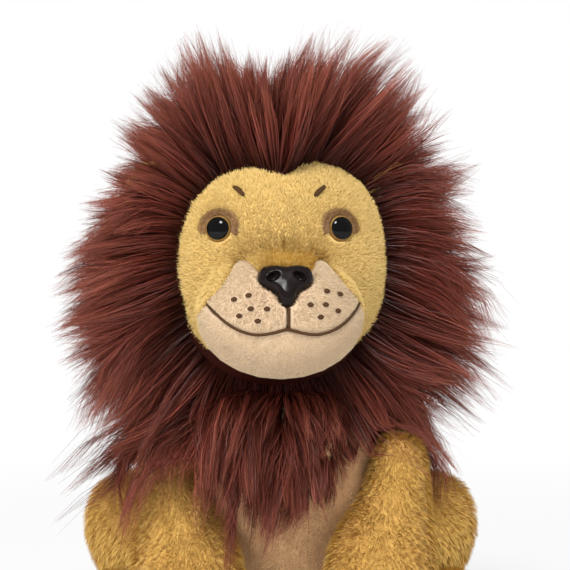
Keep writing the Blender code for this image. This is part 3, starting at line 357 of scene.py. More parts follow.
def make_camera():
    data = bpy.data.cameras.new("camera")
    camera = bpy.data.objects.new("camera", data)
    bpy.context.scene.collection.objects.link(camera)
    bpy.context.scene.camera = camera
    place, right, up, back = camera_axes()
    data.sensor_width = SENSOR
    data.lens = SENSOR * CAMERA_DISTANCE / (PHOTO_SIZE * PIXEL)
    camera.location = place
    camera.rotation_mode = "QUATERNION"
    camera.rotation_quaternion = (-back).to_track_quat("-Z", "Y")
    data.clip_start = CLIP_START
    data.clip_end = CLIP_END


def softbox(name, place, aim, width, power):
    """A round soft lamp. Only the key lamp shows as a reflection in the eyes and the nose."""
    data = bpy.data.lights.new(name, "AREA")
    data.shape = "DISK"
    data.size = width
    data.energy = power
    lamp = bpy.data.objects.new(name, data)
    bpy.context.scene.collection.objects.link(lamp)
    lamp.location = place
    lamp.visible_glossy = name == "key"
    lamp.rotation_euler = (Vector(aim) - Vector(place)).to_track_quat("-Z", "Y").to_euler()


def show_mix(tree, share, first, second, end):
    """Shows a mix of two shaders on a material or on the world."""
    blend = add_node(tree, "ShaderNodeMixShader")
    for socket, value in zip(blend.inputs, (share, first, second)):
        tree.links.new(value, socket)
    tree.links.new(blend.outputs[0], tree.nodes[end].inputs["Surface"])


def make_studio():
    """A white floor that runs into a white world, a lamp above the front and one on either hand."""
    bpy.ops.object.select_all(action="DESELECT")
    bpy.ops.mesh.primitive_plane_add(size=FLOOR_WIDTH, location=(0, 0, 0))
    floor = bpy.context.object
    floor.name = "floor"
    paint, tree, shader = new_material("floor_paint", 0.9)
    shader.inputs["Base Color"].default_value = (FLOOR_GREY, FLOOR_GREY, FLOOR_GREY, 1)
    glow = add_node(tree, "ShaderNodeEmission")
    glow.inputs["Color"].default_value = (1, 1, 1, 1)
    distance = add_node(tree, "ShaderNodeVectorMath", operation="LENGTH")
    tree.links.new(object_place(tree), distance.inputs[0])
    fade = ramp_share(tree, distance.outputs["Value"], *FLOOR_FADE)
    fade = math_node(tree, "MULTIPLY_ADD", fade, 1 - FLOOR_GLOW, FLOOR_GLOW)
    seen = add_node(tree, "ShaderNodeLightPath").outputs["Is Camera Ray"]
    share = math_node(tree, "MULTIPLY", fade, seen)
    show_mix(tree, share, shader.outputs[0], glow.outputs[0], "Material Output")
    floor.data.materials.append(paint)

    world = bpy.data.worlds.new("studio")
    bpy.context.scene.world = world
    world.use_nodes = True
    tree = world.node_tree
    sky, seen = tree.nodes["Background"], add_node(tree, "ShaderNodeBackground")
    for node, strength in ((sky, SKY_LEVEL), (seen, 1.0)):
        node.inputs["Color"].default_value = (1, 1, 1, 1)
        node.inputs["Strength"].default_value = strength
    path = add_node(tree, "ShaderNodeLightPath").outputs
    direct = math_node(tree, "MAXIMUM", path["Is Camera Ray"], path["Is Transmission Ray"])
    show_mix(tree, direct, sky.outputs[0], seen.outputs[0], "World Output")
    for name, place, width, power in LAMPS:
        softbox(name, place, LAMP_AIM, width, power)


# Materials


def new_group(name, inputs, outputs):
    """A group of nodes, the sockets of its inputs and those of its outputs."""
    group = bpy.data.node_groups.new(name, "ShaderNodeTree")
    for way, sockets in (("INPUT", inputs), ("OUTPUT", outputs)):
        for label, kind in sockets.items():
            group.interface.new_socket(label, in_out=way, socket_type=f"NodeSocket{kind}")
    return group, group.nodes.new("NodeGroupInput").outputs, group.nodes.new("NodeGroupOutput").inputs


def add_node(tree, kind, **settings):
    node = tree.nodes.new(kind)
    for key, value in settings.items():
        setattr(node, key, value)
    return node


def feed(tree, socket, value):
    """Sets a socket to a number or a colour, or links it to another node's output."""
    if isinstance(value, (int, float)):
        socket.default_value = value
    elif isinstance(value, tuple):
        socket.default_value = (*value, 1)
    else:
        tree.links.new(value, socket)


def math_node(tree, operation, *values):
    node = add_node(tree, "ShaderNodeMath", operation=operation)
    for socket, value in zip(node.inputs, values):
        feed(tree, socket, value)
    return node.outputs[0]


def mix_colours(tree, share, first, second, blend="MIX"):
    node = add_node(tree, "ShaderNodeMix", data_type="RGBA", blend_type=blend)
    for place, value in ((0, share), (6, first), (7, second)):
        feed(tree, node.inputs[place], value)
    return node.outputs[2]


def ramp_share(tree, value, low, high):
    """0 below low, 1 above high, smooth between them."""
    node = add_node(tree, "ShaderNodeMapRange", interpolation_type="SMOOTHSTEP")
    node.inputs["From Min"].default_value = low
    node.inputs["From Max"].default_value = high
    tree.links.new(value, node.inputs["Value"])
    return node.outputs["Result"]


def noise(tree, vector, scale, detail=2.0, roughness=0.5):
    node = add_node(tree, "ShaderNodeTexNoise")
    for label, value in (("Vector", vector), ("Scale", scale), ("Detail", detail), ("Roughness", roughness)):
        feed(tree, node.inputs[label], value)
    return node.outputs["Fac"]


def object_place(tree):
    return add_node(tree, "ShaderNodeTexCoord").outputs["Object"]


def texture_place(tree, name):
    return add_node(tree, "ShaderNodeUVMap", uv_map=name).outputs["UV"]


def first_two(tree, vector):
    """The first two parts of a vector."""
    node = add_node(tree, "ShaderNodeSeparateXYZ")
    tree.links.new(vector, node.inputs[0])
    return node.outputs["X"], node.outputs["Y"]


def make_groups():
    """Effects that several finishes share."""
    tone, given, result = new_group(
        "fibre_tone",
        {
            "Place": "Vector", "Root": "Color", "Middle": "Color", "Tip": "Color", "Dark Tint": "Color",
            "Light Tint": "Color",
        },
        {"Colour": "Color"},
    )
    own, along = first_two(tone, given["Place"])
    # Darker towards the root, as painted shade deep in the pile, and lighter towards the tip, as painted light
    low = mix_colours(tone, ramp_share(tone, along, 0.0, 0.5), given["Root"], given["Middle"])
    whole = mix_colours(tone, ramp_share(tone, along, 0.45, 1.0), low, given["Tip"])
    tint = mix_colours(tone, own, given["Dark Tint"], given["Light Tint"])
    feed(tone, result["Colour"], mix_colours(tone, 1.0, whole, tint, "MULTIPLY"))

    nap, given, result = new_group(
        "cloth_nap",
        {"Colour": "Color", "Shade": "Color", "Tuft Scale": "Float", "Patch Scale": "Float"},
        {"Colour": "Color", "Height": "Float", "Roughness": "Float"},
    )
    place = object_place(nap)
    tufts = noise(nap, place, given["Tuft Scale"], 3.0, 0.6)
    patches = noise(nap, place, given["Patch Scale"], 1.0, 0.5)
    share = math_node(nap, "MULTIPLY_ADD", tufts, 0.65, math_node(nap, "MULTIPLY", patches, 0.35))
    share = ramp_share(nap, share, 0.34, 0.66)
    feed(nap, result["Colour"], mix_colours(nap, share, given["Shade"], given["Colour"]))
    feed(nap, result["Height"], tufts)
    feed(nap, result["Roughness"], math_node(nap, "MULTIPLY_ADD", patches, 0.16, 0.82))

    twist, given, result = new_group(
        "thread_twist",
        {"Place": "Vector", "Colour": "Color", "Shade": "Color", "Strands": "Float"},
        {"Colour": "Color", "Height": "Float"},
    )
    around, along = first_two(twist, given["Place"])
    turn = math_node(twist, "MULTIPLY_ADD", around, 0.6, along)
    turn = math_node(twist, "MULTIPLY", turn, given["Strands"])
    wave = math_node(twist, "MULTIPLY_ADD", math_node(twist, "SINE", turn), 0.5, 0.5)
    feed(twist, result["Colour"], mix_colours(twist, wave, given["Shade"], given["Colour"]))
    feed(twist, result["Height"], wave)
    return {"tone": tone, "nap": nap, "twist": twist}


def new_material(name, roughness, specular=0.5, sheen=0.0):
    made = bpy.data.materials.new(name)
    made.use_nodes = True
    shader = made.node_tree.nodes["Principled BSDF"]
    shader.inputs["Roughness"].default_value = roughness
    shader.inputs["Specular IOR Level"].default_value = specular
    shader.inputs["Sheen Weight"].default_value = sheen
    return made, made.node_tree, shader


def placed_group(tree, group, **values):
    node = add_node(tree, "ShaderNodeGroup", node_tree=group)
    for label, value in values.items():
        feed(tree, node.inputs[label.replace("_", " ")], value)
    return node.outputs


def relief(tree, shader, height, strength, distance):
    bump = add_node(tree, "ShaderNodeBump")
    bump.inputs["Strength"].default_value = strength
    bump.inputs["Distance"].default_value = distance
    tree.links.new(height, bump.inputs["Height"])
    tree.links.new(bump.outputs["Normal"], shader.inputs["Normal"])


def pile_material(name, groups, root, middle, tip, dark, light, roughness, specular, sheen):
    """Fibres: the colour follows the way along the fibre, darker at the root as painted shade and lighter at
    the tip as painted light, and the fibre's own tint.
    """
    made, tree, shader = new_material(name, roughness, specular, sheen)
    tone = placed_group(
        tree, groups["tone"], Place=texture_place(tree, "OFBake"), Root=srgb(*root), Middle=srgb(*middle),
        Tip=srgb(*tip), Dark_Tint=dark, Light_Tint=light,
    )
    feed(tree, shader.inputs["Base Color"], tone["Colour"])
    return made


def cloth_material(name, groups, colour, shade, tufts, patches, depth, sheen):
    made, tree, shader = new_material(name, 0.9, sheen=sheen)
    nap = placed_group(
        tree, groups["nap"], Colour=srgb(*colour), Shade=srgb(*shade), Tuft_Scale=float(tufts),
        Patch_Scale=float(patches),
    )
    feed(tree, shader.inputs["Base Color"], nap["Colour"])
    feed(tree, shader.inputs["Roughness"], nap["Roughness"])
    relief(tree, shader, nap["Height"], 0.8, depth)
    return made


def thread_material(name, groups, colour, shade):
    made, tree, shader = new_material(name, 0.75, 0.2)
    twist = placed_group(
        tree, groups["twist"], Place=texture_place(tree, "thread"), Colour=colour, Shade=shade, Strands=40.0
    )
    feed(tree, shader.inputs["Base Color"], twist["Colour"])
    relief(tree, shader, twist["Height"], 0.6, 0.0002)
    return made


def make_materials(groups):
    made = {name: pile_material(f"{name}_fibre", groups, *values) for name, values in PILES.items()}
    for name, values in CLOTHS.items():
        made[f"{name}_cloth"] = cloth_material(f"{name}_cloth", groups, *values)
    made["thread"] = thread_material("brown_thread", groups, srgb(94, 64, 36), srgb(60, 40, 22))

    tree = made["face_cloth"].node_tree
    colour = tree.nodes["Principled BSDF"].inputs["Base Color"]
    spray = add_node(tree, "ShaderNodeAttribute", attribute_name="spray").outputs["Fac"]
    feed(tree, colour, mix_colours(tree, spray, colour.links[0].from_socket, srgb(*SPRAY_COLOUR)))

    made["nose"], tree, shader = new_material("nose_moulding", 0.20, 0.13)
    place = object_place(tree)
    grain = noise(tree, place, 1800.0)
    clouds = noise(tree, place, 160.0)
    feed(tree, shader.inputs["Base Color"], mix_colours(tree, clouds, srgb(16, 11, 11), srgb(28, 20, 19)))
    feed(tree, shader.inputs["Roughness"], math_node(tree, "MULTIPLY_ADD", clouds, 0.14, 0.12))
    relief(tree, shader, grain, 0.15, 0.0001)

    made["eye"], tree, shader = new_material("eye_dome", 0.05, 0.18)
    place = texture_place(tree, "dome")
    ring = ramp_share(tree, first_two(tree, place)[0], 0.83, 0.87)
    amber = mix_colours(tree, noise(tree, place, 30.0), srgb(92, 66, 32), srgb(168, 132, 74))
    feed(tree, shader.inputs["Base Color"], mix_colours(tree, ring, srgb(6, 5, 5), amber))

    made["washer"], tree, shader = new_material("washer_plastic", 0.5)
    clouds = noise(tree, object_place(tree), 500.0, 3.0)
    feed(tree, shader.inputs["Base Color"], mix_colours(tree, clouds, srgb(205, 205, 202), srgb(232, 232, 230)))
    relief(tree, shader, clouds, 0.2, 0.0001)
    return made


# Shapes


def turned_by(points, turn):
    """Directions or points turned about the upright axis."""
    points = np.asarray(points, float)
    c, s = math.cos(turn), math.sin(turn)
    x, y = points[..., 0], points[..., 1]
    return np.stack([x * c - y * s, x * s + y * c, points[..., 2]], axis=-1)


def on_neck(points):
    """From the head's own frame to the place where the head sits."""
    neck = np.array([0, NECK_Y, 0])
    return turned_by(np.asarray(points, float) - neck, HEAD_TURN) + neck + np.array([HEAD_ASIDE, 0, 0])


def off_neck(points):
    neck = np.array([0, NECK_Y, 0])
    return turned_by(np.asarray(points, float) - neck - np.array([HEAD_ASIDE, 0, 0]), -HEAD_TURN) + neck


def unit(vectors):
    return vectors / np.maximum(np.linalg.norm(vectors, axis=-1, keepdims=True), 1e-9)


def only(piece):
    """Selects one piece and makes it the active one."""
    bpy.ops.object.select_all(action="DESELECT")
    piece.select_set(True)
    bpy.context.view_layer.objects.active = piece


def apply_modifiers(piece):
    only(piece)
    for modifier in list(piece.modifiers):
        bpy.ops.object.modifier_apply(modifier=modifier.name)


def copied_node(node, name):
    """A copy of a CAD solid with its loose triangles merged."""
    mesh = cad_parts[node].data.copy()
    mesh.name = name
    mesh.materials.clear()
    piece = bpy.data.objects.new(name, mesh)
    bpy.context.scene.collection.objects.link(piece)
    shape = bmesh.new()
    shape.from_mesh(mesh)
    bmesh.ops.remove_doubles(shape, verts=shape.verts, dist=1e-6)
    shape.to_mesh(mesh)
    shape.free()
    return piece


def coordinates(mesh, what="co"):
    """The places of a mesh's points, or their normals."""
    values = np.empty(len(mesh.vertices) * 3)
    mesh.vertices.foreach_get(what, values)
    return values.reshape(-1, 3)


def triangles_of(mesh):
    mesh.calc_loop_triangles()
    corners = np.empty(len(mesh.loop_triangles) * 3, int)
    mesh.loop_triangles.foreach_get("vertices", corners)
    return corners.reshape(-1, 3)


def plump(piece):
    """Blows a cover up a little inside its seams, so that the cloth carries its filling."""
    only(piece)
    start = coordinates(piece.data)
    cloth = piece.modifiers.new("filling", "CLOTH")
    cloth.settings.use_pressure = True
    cloth.settings.uniform_pressure_force = PLUMP_PRESSURE
    cloth.settings.quality = 6
    cloth.settings.tension_stiffness = 25
    cloth.settings.compression_stiffness = 8
    cloth.settings.effector_weights.gravity = 0
    cloth.point_cache.frame_end = PLUMP_FRAMES
    scene = bpy.context.scene
    for number in range(1, PLUMP_FRAMES + 1):
        scene.frame_set(number)
    seen = piece.evaluated_get(bpy.context.evaluated_depsgraph_get())
    blown = coordinates(seen.data)
    piece.modifiers.remove(cloth)
    scene.frame_set(1)
    move = blown - start
    far = np.linalg.norm(move, axis=1, keepdims=True)
    move *= np.minimum(1, PLUMP_CAP / np.maximum(far, 1e-9))
    piece.data.vertices.foreach_set("co", (start + move).ravel())
    piece.data.update()


def rounded(piece, voxel, turns, inset=0.0):
    """Gives a piece an even grid of faces, takes it in and eases its edges."""
    grid = piece.modifiers.new("grid", "REMESH")
    grid.mode = "VOXEL"
    grid.voxel_size = voxel
    if inset:
        drawn_in = piece.modifiers.new("inset", "DISPLACE")
        drawn_in.strength = -inset
        drawn_in.mid_level = 0
    soften = piece.modifiers.new("soften", "SMOOTH")
    soften.factor = 0.5
    soften.iterations = turns
    apply_modifiers(piece)


def make_cover(node, body, material, voxel, turns):
    """A stuffed cover with the form of a CAD solid."""
    piece = copied_node(node, f"{node}_cover")
    if voxel:
        rounded(piece, voxel, turns)
    else:
        rounded(piece, PLUMP_VOXEL, turns, PLUMP_INSET)
        plump(piece)
        finer = piece.modifiers.new("finer", "SUBSURF")
        finer.levels = 1
        finer.render_levels = 1
        apply_modifiers(piece)
    piece.data.shade_smooth()
    piece.data.materials.append(material)
    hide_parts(node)
    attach(piece, body)
    return piece


def make_covers(materials):
    """Every stuffed cover, by the name of its node."""
    covers = {}
    paired = [
        (f"{node}_{name}", side_body(body, name), *rest)
        for name, _ in SIDES for node, body, *rest in PAIRED_COVERS
    ]
    for node, body, cloth, voxel, turns in (*COVERS, *paired):
        covers[node] = make_cover(node, body, materials[f"{cloth}_cloth"], voxel, turns)
    return covers


def side_body(body, name):
    """The body of one side. The head has only one."""
    return body if body == "head" else f"{body}_{name}"


def tree_of(pieces):
    """One search tree over several pieces."""
    points, faces = [], []
    for piece in pieces:
        faces += (triangles_of(piece.data) + len(points)).tolist()
        points += coordinates(piece.data).tolist()
    return BVHTree.FromPolygons(points, faces)


# Pile


def scatter(piece, density, rng):
    """Even random roots on a piece: their places and normals."""
    corners = triangles_of(piece.data)
    points, normals = coordinates(piece.data), coordinates(piece.data, "normal")
    a, b, c = (points[corners[:, k]] for k in range(3))
    areas = np.linalg.norm(np.cross(b - a, c - a), axis=1) / 2
    count = int(areas.sum() * density)
    pick = rng.choice(len(areas), count, p=areas / areas.sum())
    u, v = rng.random(count), rng.random(count)
    over = u + v > 1
    u[over], v[over] = 1 - u[over], 1 - v[over]
    shares = (1 - u - v, u, v)
    places = sum(s[:, None] * points[corners[pick, k]] for k, s in enumerate(shares))
    ways = sum(s[:, None] * normals[corners[pick, k]] for k, s in enumerate(shares))
    return places, unit(ways)


def in_open_air(tree, roots, normals, reach=SEAM_REACH):
    """Which roots have no other cloth close in front of them."""
    starts = roots + normals * RAY_START
    return np.array([
        tree.ray_cast(Vector(start), Vector(way), reach)[0] is None for start, way in zip(starts, normals)
    ], bool)


def inside_outline(x, z, outline):
    """Which points lie inside an outline."""
    inside = np.zeros(len(x), bool)
    for (ax, az), (bx, bz) in zip(outline, outline[1:] + outline[:1]):
        crossing = (az > z) != (bz > z)
        inside ^= crossing & (x < (bx - ax) * (z - az) / ((bz - az) or 1e-9) + ax)
    return inside


def bump(values, middle, width):
    """1 at the middle, less and less to either side of it."""
    return np.exp(-(((values - middle) / width) ** 2))


def along_surface(ways, normals):
    """Directions laid flat on the surface."""
    return unit(ways - normals * np.sum(ways * normals, axis=-1, keepdims=True))


def fibre_paths(roots, first, last, lengths, steps, bend=1.2):
    """Curved fibres that set out in one direction and end in another."""
    share = (((np.arange(steps) + 0.5) / steps) ** bend)[None, :, None]
    ways = unit(unit(first)[:, None] * (1 - share) + unit(last)[:, None] * share)
    hops = np.cumsum(ways * (lengths / steps)[:, None, None], axis=1)
    return np.concatenate([roots[:, None], roots[:, None] + hops], axis=1)


def point_tree(places):
    tree = KDTree(len(places))
    for index, place in enumerate(places):
        tree.insert(place, index)
    tree.balance()
    return tree


def nearest_of(points, centres):
    tree = point_tree(centres)
    return np.array([tree.find(point)[1] for point in points], int)


def gather(paths, guides, lock, lengths, guide_lengths, pull, start=0.0, late=1.15):
    """Draws fibres to their lock's middle, more so towards their tips."""
    share = np.linspace(0, 1, paths.shape[1])[None]
    share = pull[:, None] * (start + (1 - start) * share ** late) * (share > 0)
    middle = guides[lock]
    root = middle[:, :1]
    middle = root + (middle - root) * (lengths / guide_lengths[lock])[:, None, None]
    return paths + (middle - paths) * share[..., None]


def within(paths, centre, half_sizes):
    """Which fibres pass through a rounded body."""
    local = (paths - np.array(centre)) / np.array(half_sizes)
    return (np.linalg.norm(local, axis=-1) < 1).any(axis=1)


def keep_clear(paths, centre, half_sizes):
    """Moves what has gone into a rounded body back to its surface."""
    centre, half_sizes = np.array(centre), np.array(half_sizes)
    local = (paths - centre) / half_sizes
    size = np.linalg.norm(local, axis=-1, keepdims=True)
    inside = (size < 1) & (np.arange(paths.shape[1])[None, :, None] > 0)
    return np.where(inside, centre + local / np.maximum(size, 1e-3) * half_sizes, paths)


def clear_of_bodies(paths):
    for centre, half_sizes in BODY_ROOMS:
        paths = keep_clear(paths, centre, half_sizes)
    return paths


def fibre_arrays(paths, width, tint, rng, tip=0.15, facing=None):
    """Points, faces and texture places of flat tapered fibres, turned at random or to face one way."""
    count, rings, _ = paths.shape
    along = unit(np.gradient(paths, axis=1))
    turn = unit(rng.normal(size=(count, 1, 3)))
    if facing is not None:
        turn = facing[:, None] + turn * FACING_DISORDER
    across = unit(np.cross(along, unit(turn)))
    share = np.linspace(0, 1, rings)
    taper = 1 - (1 - tip) * np.clip((share - 0.25) / 0.75, 0, 1) ** 1.3
    half = (np.broadcast_to(width, (count,)) / 2)[:, None, None] * taper[None, :, None]
    points = np.stack([paths - across * half, paths + across * half], axis=2).reshape(-1, 3)
    first = (np.arange(count) * rings * 2)[:, None] + (np.arange(rings - 1) * 2)[None]
    faces = np.stack([first, first + 1, first + 3, first + 2], axis=-1).reshape(-1, 4)
    low = np.broadcast_to(share[:-1][None], (count, rings - 1))
    high = np.broadcast_to(share[1:][None], (count, rings - 1))
    left = np.broadcast_to((tint - 0.004)[:, None], (count, rings - 1))
    right = left + 0.008
    texture = np.stack([
        np.stack([left, low], -1), np.stack([right, low], -1),
        np.stack([right, high], -1), np.stack([left, high], -1),
    ], axis=2).reshape(-1, 2)
    return points, faces, texture


def mesh_of(name, points, faces, texture, material, uv_name="OFBake"):
    """A mesh object of quads from arrays."""
    mesh = bpy.data.meshes.new(name)
    mesh.vertices.add(len(points))
    mesh.vertices.foreach_set("co", points.astype(np.float32).ravel())
    mesh.loops.add(faces.size)
    mesh.loops.foreach_set("vertex_index", faces.astype(np.int32).ravel())
    mesh.polygons.add(len(faces))
    mesh.polygons.foreach_set("loop_start", np.arange(0, faces.size, faces.shape[1], dtype=np.int32))
    mesh.uv_layers.new(name=uv_name)
    mesh.uv_layers[uv_name].data.foreach_set("uv", texture.astype(np.float32).ravel())
    mesh.update(calc_edges=True)
    mesh.shade_smooth()
    mesh.materials.append(material)
    piece = bpy.data.objects.new(name, mesh)
    bpy.context.scene.collection.objects.link(piece)
    return piece


def joined_arrays(parts):
    points, faces, texture, base = [], [], [], 0
    for part_points, part_faces, part_texture in parts:
        points.append(part_points)
        faces.append(part_faces + base)
        texture.append(part_texture)
        base += len(part_points)
    return np.concatenate(points), np.concatenate(faces), np.concatenate(texture)


def short_pile(name, roots, normals, ways, kind, body, material, rng, tint=0.0):
    """A coat of short pile combed along a surface, its fibres gathered in small clumps."""
    count = len(roots)
    steps, mean = kind["steps"], kind["length"]
    comb = along_surface(ways + rng.normal(size=(count, 3)) * COMB_DISORDER, normals)
    first = normals + comb * ROOT_LEAN
    last = normals * kind["lift"] + comb
    lengths = mean * rng.uniform(*PILE_LENGTHS, count)
    paths = fibre_paths(roots, first, last, lengths, steps)
    clumps = rng.choice(count, max(1, int(count * kind["clumps"] / kind["density"])), replace=False)
    guide_first = first[clumps] + rng.normal(size=(len(clumps), 3)) * CLUMP_LEANS[0]
    guide_last = last[clumps] + rng.normal(size=(len(clumps), 3)) * CLUMP_LEANS[1]
    guides = fibre_paths(roots[clumps], guide_first, guide_last, lengths[clumps], steps)
    clump = nearest_of(roots, roots[clumps])
    pull = rng.uniform(*kind["pull"], count)
    paths = gather(paths, guides, clump, lengths, lengths[clumps], pull, 0.2)
    paths[..., 2] = np.maximum(paths[..., 2], PILE_FLOOR)
    own = rng.normal(0, kind["mottle"], count) + rng.normal(0, kind["mottle"], len(clumps))[clump]
    shade = np.clip(PILE_TINT + own - tint, *TINT_LIMITS)
    piece = mesh_of(name, *fibre_arrays(paths, kind["width"], shade, rng, 0.3, normals), material)
    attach(piece, body)


# Mane


def mane_regions(points):
    """Which CAD piece of the mane each root on the head belongs to."""
    regions = np.full(len(points), -1)
    x, y, z = (points[:, k] for k in range(3))
    turn = np.degrees(np.arctan2(np.abs(x - MANE_CENTRE[0]), z - CROWN_MIDDLE))
    ahead = y < NAPE_FRONT
    regions[~ahead] = 4
    crown = ahead & (turn < CROWN_TURN)
    cheek = ahead & (turn >= CROWN_TURN)
    regions[crown & (x < 0)] = 0
    regions[crown & (x >= 0)] = 1
    regions[cheek & (x < 0)] = 2
    regions[cheek & (x >= 0)] = 3
    return regions


def mane_ways(points, normals):
    """How the hair on the head sets out and where it ends up pointing, in the head's own frame."""
    behind = np.clip((points[:, 1] + 0.055) / 0.075, 0, 1)[:, None]
    radial = points - np.array(MANE_CENTRE) - np.array([[0, 0, WHORL_RISE]]) * behind
    radial[:, 1] = 0
    radial = unit(radial)
    edge = np.clip((-0.038 - points[:, 1:2]) / 0.012, 0, 1)
    low = np.clip((0.160 - points[:, 2:]) / 0.045, 0, 1)
    parting = bump(points[:, :1], 0, PARTING_WIDTH) * (radial[:, 2:] > 0.6) * edge
    side = np.sign(points[:, :1]) * np.array([[1, 0, 0]])
    ahead = FORWARD * (0.14 + 0.20 * edge) * (1 - behind) * (1 - low)
    turn = np.degrees(np.arctan2(np.abs(radial[:, 0]), radial[:, 2]))
    rise = np.radians(np.interp(turn, *np.array(HAIR_FALL).T))[:, None]
    fall = side * np.cos(rise) - DOWN * np.sin(rise)
    first = (
        normals * (0.62 + 0.38 * behind) + radial * (0.40 - 0.08 * behind) + fall * 0.30 * (1 - behind)
        + ahead + side * parting * 0.22
    )
    last = (
        normals * (0.16 + 0.80 * behind) + radial * 0.55 * behind + fall * (1 - behind)
        - FORWARD * (0.04 + 0.04 * behind) + DOWN * (0.06 + 0.14 * behind) + side * parting * 0.08
    )
    return unit(first), unit(last)


def trimmed(guides):
    """The share of its length at which each lock ends on the outline of the mane, seen from the front."""
    centre = np.array(MANE_CENTRE)[[0, 2]]
    root, tip = guides[:, 0, [0, 2]] - centre, guides[:, -1, [0, 2]] - centre
    way = tip - root
    turn = np.degrees(np.arctan2(tip[:, 0], tip[:, 1]))
    outline = np.interp(turn, *np.array(MANE_OUTLINE).T)
    along, size = (root * way).sum(axis=1), np.maximum((way ** 2).sum(axis=1), 1e-9)
    room = outline ** 2 - (root ** 2).sum(axis=1)
    share = (np.sqrt(np.maximum(along ** 2 + size * room, 0)) - along) / size
    return np.clip(share, *TRIM_LIMITS)


def reach_of(tree, roots, ways, usual):
    """How far the CAD mane stands out from each root along its way."""
    reach = np.full(len(roots), usual)
    for index, (root, way) in enumerate(zip(roots, ways)):
        way = Vector(way)
        spot, _, _, gap = tree.ray_cast(Vector(root) + way * RAY_LENGTH, -way, RAY_LENGTH)
        if spot is not None and spot.z > NECK_Z + 0.004:
            reach[index] = RAY_LENGTH - gap
    return reach


def long_pile(roots, first, last, lock_count, usual, mane_tree, rng, front=None, length_share=None):
    """Long pile in pointed locks that gather into tufts. Returns the paths and each fibre's tint."""
    count = len(roots)
    locks = rng.choice(count, min(lock_count, count), replace=False)
    tufts = rng.choice(len(locks), max(3, len(locks) // TUFT_OF_LOCKS), replace=False)
    tuft = nearest_of(roots[locks], roots[locks[tufts]])
    tuft_lean = rng.normal(size=(len(tufts), 3)) * TUFT_LEAN
    lock_first = unit(first[locks] + rng.normal(size=(len(locks), 3)) * ROOT_DISORDER)
    lock_last = unit(last[locks] + rng.normal(size=(len(locks), 3)) * LOCK_LEAN + tuft_lean[tuft])
    lock_lengths = np.full(len(locks), usual)
    if mane_tree is not None:
        lock_lengths = reach_of(mane_tree, roots[locks], unit(lock_first + lock_last), usual)
        lock_lengths = np.clip(lock_lengths * REACH_SHARE, *(usual * share for share in REACH_LIMITS))
        trial = fibre_paths(roots[locks], lock_first, lock_last, np.full(len(locks), usual), MANE_STEPS)
        lock_lengths += (usual * trimmed(trial) - lock_lengths) * front[locks]
    if length_share is not None:
        lock_lengths = lock_lengths * length_share[locks]
    tuft_lengths = lock_lengths[tufts] * rng.uniform(*TUFT_LENGTHS, len(tufts))
    within_tuft = tuft_lengths[tuft] * rng.uniform(*LOCK_LENGTHS, len(locks))
    lock_lengths = np.minimum(within_tuft, lock_lengths * LOCK_MOST)
    guides = fibre_paths(roots[locks], lock_first, lock_last, lock_lengths, MANE_STEPS)
    pull = rng.uniform(*LOCK_PULL, len(locks))
    guides = gather(guides, guides[tufts], tuft, lock_lengths, tuft_lengths, pull, late=LOCK_LATE)
    lock = nearest_of(roots, roots[locks])
    lengths = lock_lengths[lock] * (0.54 + 0.50 * rng.random(count) ** 0.9)
    loose = rng.random(count) < LOOSE_SHARE
    own_first = lock_first[lock] * 0.7 + first * 0.3 + rng.normal(size=(count, 3)) * ROOT_DISORDER
    disorder = TIP_DISORDER + LOOSE_DISORDER * loose[:, None]
    own_last = lock_last[lock] * 0.8 + last * 0.2 + rng.normal(size=(count, 3)) * disorder
    paths = fibre_paths(roots, own_first, own_last, lengths, MANE_STEPS)
    pull = rng.uniform(*FIBRE_PULL, count)
    pull[loose] = rng.uniform(*LOOSE_PULL, loose.sum())
    paths = gather(paths, guides, lock, lengths, lock_lengths, pull, late=LOCK_LATE)
    tint = HAIR_TINT + rng.normal(0, 0.12, count) + rng.normal(0, 0.11, len(locks))[lock]
    tint += (rng.random(count) < PALE_SHARE) * PALE_TINT
    return paths, np.clip(tint, *TINT_LIMITS)


def add_backing(name, body, cover, keep, materials):
    """Woven backing under long pile: faces of a cover, lifted a little, in the fibres' dark root colour as
    painted shade between the locks.
    """
    corners = triangles_of(cover.data)
    points = coordinates(cover.data) + coordinates(cover.data, "normal") * BACKING_LIFT
    chosen = corners[keep(points[corners].mean(axis=1))]
    used, faces = np.unique(chosen, return_inverse=True)
    texture = np.tile(np.array([BACKING_SHADE_TEXTURE]), (faces.size, 1))
    piece = mesh_of(name, points[used], faces.reshape(-1, 3), texture, materials["mane"])
    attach(piece, body)


def face_area(points, grown=0.0):
    """Which points of the head lie within the mane's edge, in the head's own frame."""
    middle = np.array(FACE_MIDDLE)
    rays = np.array(FACE_EDGE) - middle
    outline = middle + rays * (1 + grown / np.linalg.norm(rays, axis=1, keepdims=True))
    return inside_outline(points[:, 0], points[:, 2], outline.tolist()) & (points[:, 1] < FACE_BACK)


MANE_PIECES = ("mane_crown_left", "mane_crown_right", "mane_cheek_left", "mane_cheek_right", "mane_nape")


